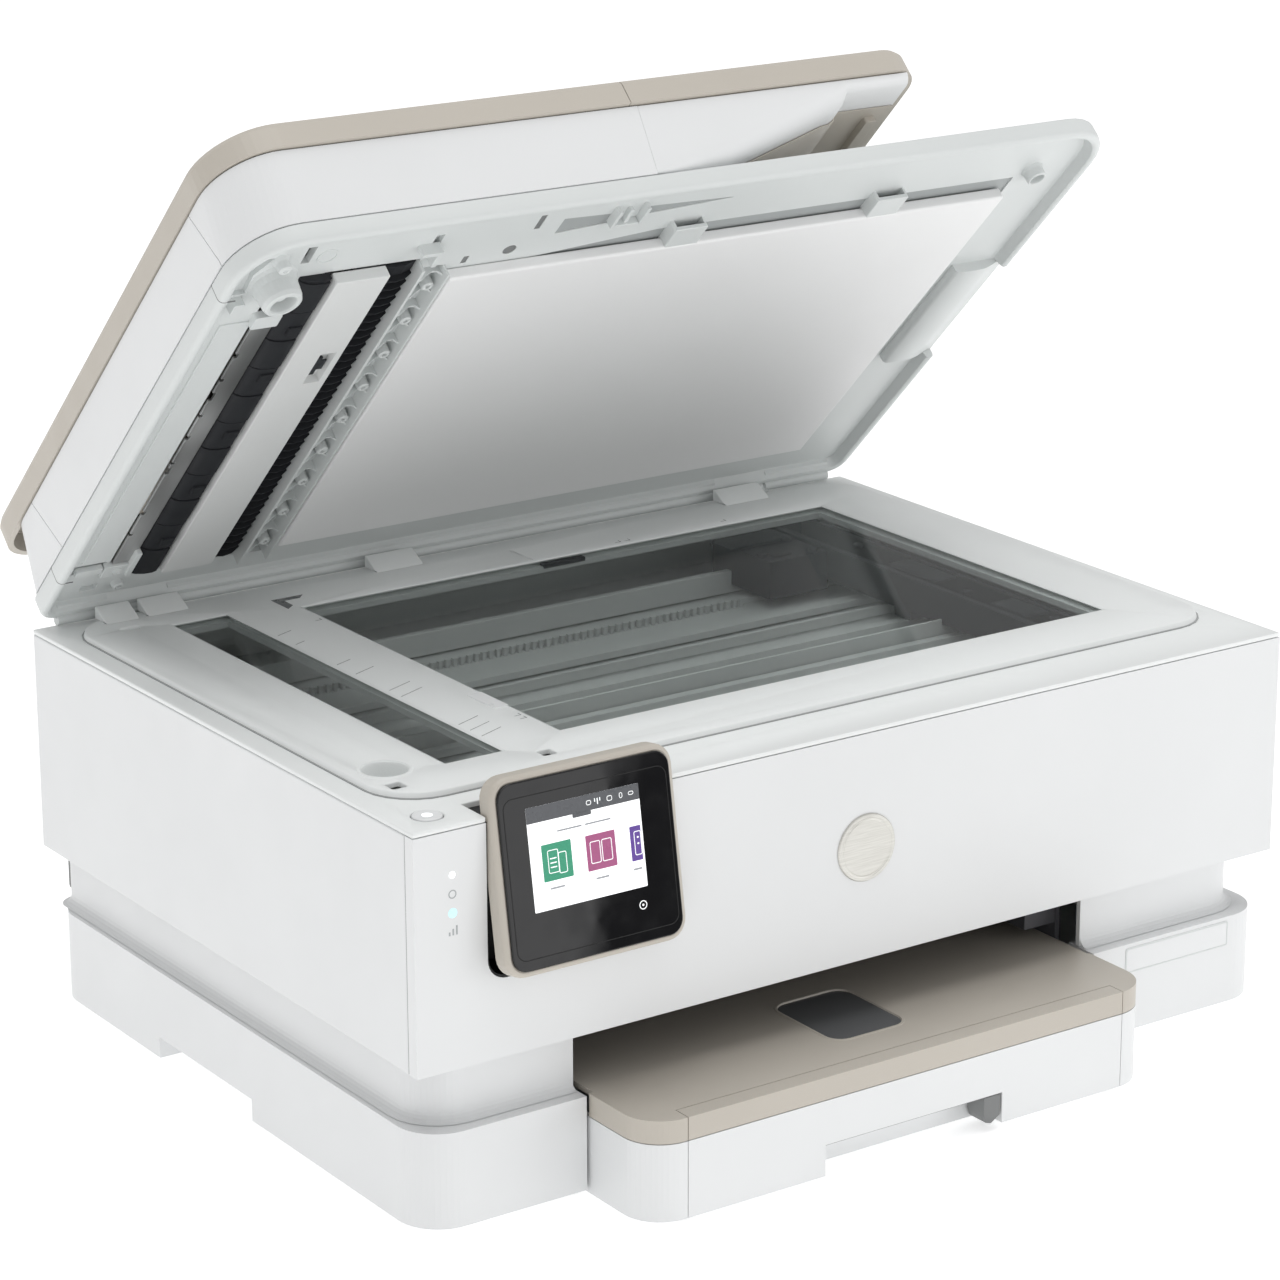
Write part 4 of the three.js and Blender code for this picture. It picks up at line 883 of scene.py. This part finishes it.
def build_feed_path():
    curve = [(-189.8, 8.6), (-189.8, 5.2), (-188.5, 3.4), (-186, 2.2), (-182.5, 1.6), (-178.5, 1.5),
             (-176, 2.0), (-176, 8.6)]
    pitch = GUIDE_LENGTH / GUIDE_TILES
    tiles = []
    for index in range(GUIDE_TILES):
        start = GUIDE_START + index * pitch
        drop = 0.35 if index % 2 else 0.0
        tiles.append(prism([(x, n + drop) for x, n in curve], start + 0.45, start + pitch - 0.45, "y"))
    core = [(x + (0.4 if x > -180 else -0.1), n + 0.9) for x, n in curve]
    tiles.append(prism(core, -260.2, -25, "y"))
    lid_piece("feed_guide_left", together(*tiles), GUIDE, edge=0.3, replaces=("roller_guide",))
    tabs = [lid_plate(-184, -177.4, s, s + 5.5, 0.9, 4, 0.6) for s in (52, 96, 141, 186, 222)]
    lid_piece("feed_guide_tabs", together(*tabs), GUIDE)
    floor = [(-148.4, 8.6), (-148.4, 5.2), (-144, 4.4), (-139, 4.6), (-133.2, 6.4), (-133.2, 8.6)]
    fin = [(-147.8, 5.6), (-146.8, 2.2), (-143, 1.4), (-138, 2.2), (-133.6, 4.6), (-133.6, 6.4)]
    fins = [prism(fin, -s - 0.8, -s, "y") for s in range(30, 258, 6)]
    lid_piece("feed_guide_right", together(prism(floor, -259.5, -25, "y"), *fins), GUIDE)
    shoe = plate(-174.5, -148.5, -260, -27, 0.1, 5.6, 0.8, 0.2, 0.6)
    spring_slot = lid_block(-160.2, -152.2, 181, 203.6, -2, 3.8)
    lid_piece("pressure_shoe", shoe, SHOE, cuts=[spring_slot], replaces=("pressure_plate",))
    spring = together(lid_block(-159.6, -156.6, 186, 199, 1.2, 2.4),
                      lid_block(-157.4, -153.4, 189, 196, 1.6, 2.2))
    lid_piece("pressure_shoe_spring", spring, CHARCOAL)
    build_rib_channel()


def build_rib_channel():
    channel = [lid_plate(-132.4, -131.0, 20.5, 259, 0.4, 9.0, 0.3, 0.2),
               lid_plate(-117.6, -116.4, 20.5, 253, 0.3, 9.0, 0.3, 0.2)]
    rib = [(-131.2, 1.2), (-128, 2.2), (-125, 4.0), (-122, 5.4), (-119.4, 5.2), (-117.4, 3.0),
           (-117.4, 8.8), (-131.2, 8.8)]
    screw_boss = [(3.0, 8.8), (2.8, 3.4), (2.2, 2.9), (1.2, 3.0), (1.0, 5.5), (0.01, 5.6)]
    for index, s in enumerate(range(28, 250, 13)):
        channel.append(prism(rib, -s - 1.1, -s, "y"))
        if index % 2 == 0:
            channel.append(lid_turned(-121.4, s + 5.5, screw_boss, 18))
    lid_piece("lid_rib_channel", together(*channel))


def build_mat():
    outline = (-115, 187, -249.5, -31, 1.2)
    rings = [ring(outline, 0.1, 5.6), ring(outline, 0, 4.8), ring(outline, 0, 2.4)]
    rings += [ring(outline, d, 0.3 + h) for d, h in reversed(quarter(1.4, 4))]
    lid_piece("white_backing", loft(rings), MAT, replaces=("backing_mat",))


# ---------------------------------------------------------------- document feeder
TRAY_TOP, TRAY_FRONT, TRAY_BACK = 39.6, -300, -10
TURN_START, TURN_REACH = 75.6, 10.4     # where the ramp's end starts to curl up, and how far it runs


def tray_section(x):
    """Outline of the document tray's shell at x: a flared front wall, a rounded foot and the ramp."""
    crease = 7 + (x + 33.6) * 0.284
    low = max(crease - 9, 10.3)
    if x > TURN_START:
        turn = min((x - TURN_START) / TURN_REACH, 1.0)
        low = 29 + 6.2 * (1 - math.sqrt(1 - turn * turn))
    r = min(9.0, TRAY_TOP - low - 0.8)
    if x < 2:
        r = min(9.0, max(1.0, crease - 9.3))
    section = [(x, TRAY_FRONT - 4, TRAY_TOP)]
    for k in range(7):
        a = math.radians(90 * k / 6)
        n = low + r * (1 - math.sin(a))
        flare = 4 - 8 * (n - 9.8) / 29.8
        section.append((x, TRAY_FRONT + flare + r * (1 - math.cos(a)), n))
    return section + [(x, TRAY_BACK, low), (x, TRAY_BACK, TRAY_TOP)]


def build_document_tray():
    stations = (-26.2, -18, -8, 2, 16, 32, 48, 62, 70, 75.6, 79, 82, 84, 86, 92, 106, 116, 119, 120)
    ramp = [(-31, 13.5), (-19, 13.5), (87, 37.6), (125, 37.6), (125, 60), (-31, 60)]
    cut = prism(ramp, TRAY_FRONT + 6.4, TRAY_BACK - 2.5, "y")
    lid_piece("document_tray_shell", loft([tray_section(x) for x in stations]), WHITE, cuts=[cut],
              edge=0.25, replaces=("input_tray",), angle=50)
    under = [(6, 10.8), (20, 12.9), (75.6, 28.7), (80, 29.3), (83.5, 30.9), (86, 34.9), (119.2, 34.9),
             (119.2, 34.3), (86.6, 34.3), (84, 30.3), (80.2, 28.6), (76, 28.2), (21, 12.4)]
    lid_piece("document_tray_underside", prism(under, -286, -24, "y"), BEIGE, edge=0.15)
    lid_piece("document_tray_ribs", lid_plate(106, 112, 60, 280, 31.2, 34.6, 1.2), BEIGE)


def build_cap():
    inner = (-228.4, -27, -303.4, -8.6, [27.4, 0, 0, 19.4])
    band = [ring(inner, inset, n) for inset, n in ((0, 39.63), (0, 40.15), (3, 40.15), (3, 39.63))]
    # A thin black ring just inside the cap's edge: painted shadow for the gap between the cap and the
    # document tray.
    lid_piece("cap_painted_shadow_gap", loft(band, closed=True), BLACK_MATT)


for build in (build_base, build_rear, build_trays, build_cavity, build_front, build_panel, build_screen,
              build_deck, build_scanner_inside, build_lid_frame, build_lid_recesses, build_lid_fittings,
              build_feed_path, build_mat, build_document_tray, build_cap):
    build()


# ---------------------------------------------------------------- stage
WORLD_STRENGTH = 0.60      # light on the object; the camera itself sees plain white behind it
FLOOR_SIZE = 12
FLOOR_DROP = 0.0005        # keeps the floor just clear of the feet
FLOOR_GLOW = 0.45
FRAME_CENTRE = (0, 0, 0.2)
# Area lights: name, place, size (metres) and power (watts). Each faces FRAME_CENTRE.
LIGHTS = (
    ("top", (0.0, 0.0, 3.0), 2.4, 32),
    ("low_right", (1.4, -1.6, 0.3), 0.9, 5),
)
# Cards in front of the touch panel that only its glass mirrors: corners are (x, z) at CARD_Y.
CARD_Y = -700
CARDS = (
    ("bright_card", ((60, 2), (255, 2), (309, 164), (60, 164)), 1.7),
    ("dark_card", ((255, 2), (520, 2), (520, 164), (309, 164)), 0.12),
)


def make_world():
    world = bpy.data.worlds.new("studio")
    world.use_nodes = True
    tree = world.node_tree
    light = tree.nodes["Background"]
    light.inputs["Color"].default_value = (1, 1, 1, 1)
    light.inputs["Strength"].default_value = WORLD_STRENGTH
    seen = tree.nodes.new("ShaderNodeBackground")
    seen.inputs["Color"].default_value = (1, 1, 1, 1)
    seen.inputs["Strength"].default_value = 1.0
    path = tree.nodes.new("ShaderNodeLightPath")
    mix = tree.nodes.new("ShaderNodeMixShader")
    tree.links.new(path.outputs["Is Camera Ray"], mix.inputs["Fac"])
    tree.links.new(light.outputs["Background"], mix.inputs[1])
    tree.links.new(seen.outputs["Background"], mix.inputs[2])
    tree.links.new(mix.outputs["Shader"], tree.nodes["World Output"].inputs["Surface"])
    bpy.context.scene.world = world


def make_card(name, corners, strength):
    mesh = bpy.data.meshes.new(name)
    mesh.from_pydata([MACHINE @ Vector((x, CARD_Y, z)) for x, z in corners], [], [(0, 1, 2, 3)])
    card = bpy.data.objects.new(name, mesh)
    bpy.context.scene.collection.objects.link(card)
    m = Nodes(f"{name}_light")
    glow = m.add("ShaderNodeEmission", {"Color": (1, 1, 1, 1), "Strength": strength})
    m.tree.links.new(glow.outputs["Emission"], m.tree.nodes["Material Output"].inputs["Surface"])
    mesh.materials.append(m.material)
    for kind in ("camera", "diffuse", "transmission", "volume_scatter", "shadow"):
        setattr(card, f"visible_{kind}", False)


def make_floor():
    bpy.ops.mesh.primitive_plane_add(size=FLOOR_SIZE, location=(0, 0, -FLOOR_DROP))
    floor = bpy.context.object
    floor.name = "floor"
    m = Nodes("floor_paper")
    m.link(m.mix(m.noise(3), (0.93, 0.93, 0.93, 1), (0.95, 0.95, 0.95, 1)), "Base Color")
    m.shader.inputs["Roughness"].default_value = 0.9
    m.shader.inputs["Emission Color"].default_value = (1, 1, 1, 1)
    m.shader.inputs["Emission Strength"].default_value = FLOOR_GLOW
    floor.data.materials.append(m.material)


def make_lights():
    for name, place, size, power in LIGHTS:
        data = bpy.data.lights.new(name, "AREA")
        data.size = size
        data.energy = power
        lamp = bpy.data.objects.new(name, data)
        bpy.context.scene.collection.objects.link(lamp)
        lamp.location = place
        aim = Vector(FRAME_CENTRE) - Vector(place)
        lamp.rotation_euler = aim.to_track_quat("-Z", "Y").to_euler()
    for name, corners, strength in CARDS:
        make_card(name, corners, strength)


make_floor()
make_world()
make_lights()
bpy.context.scene.view_settings.view_transform = "Standard"
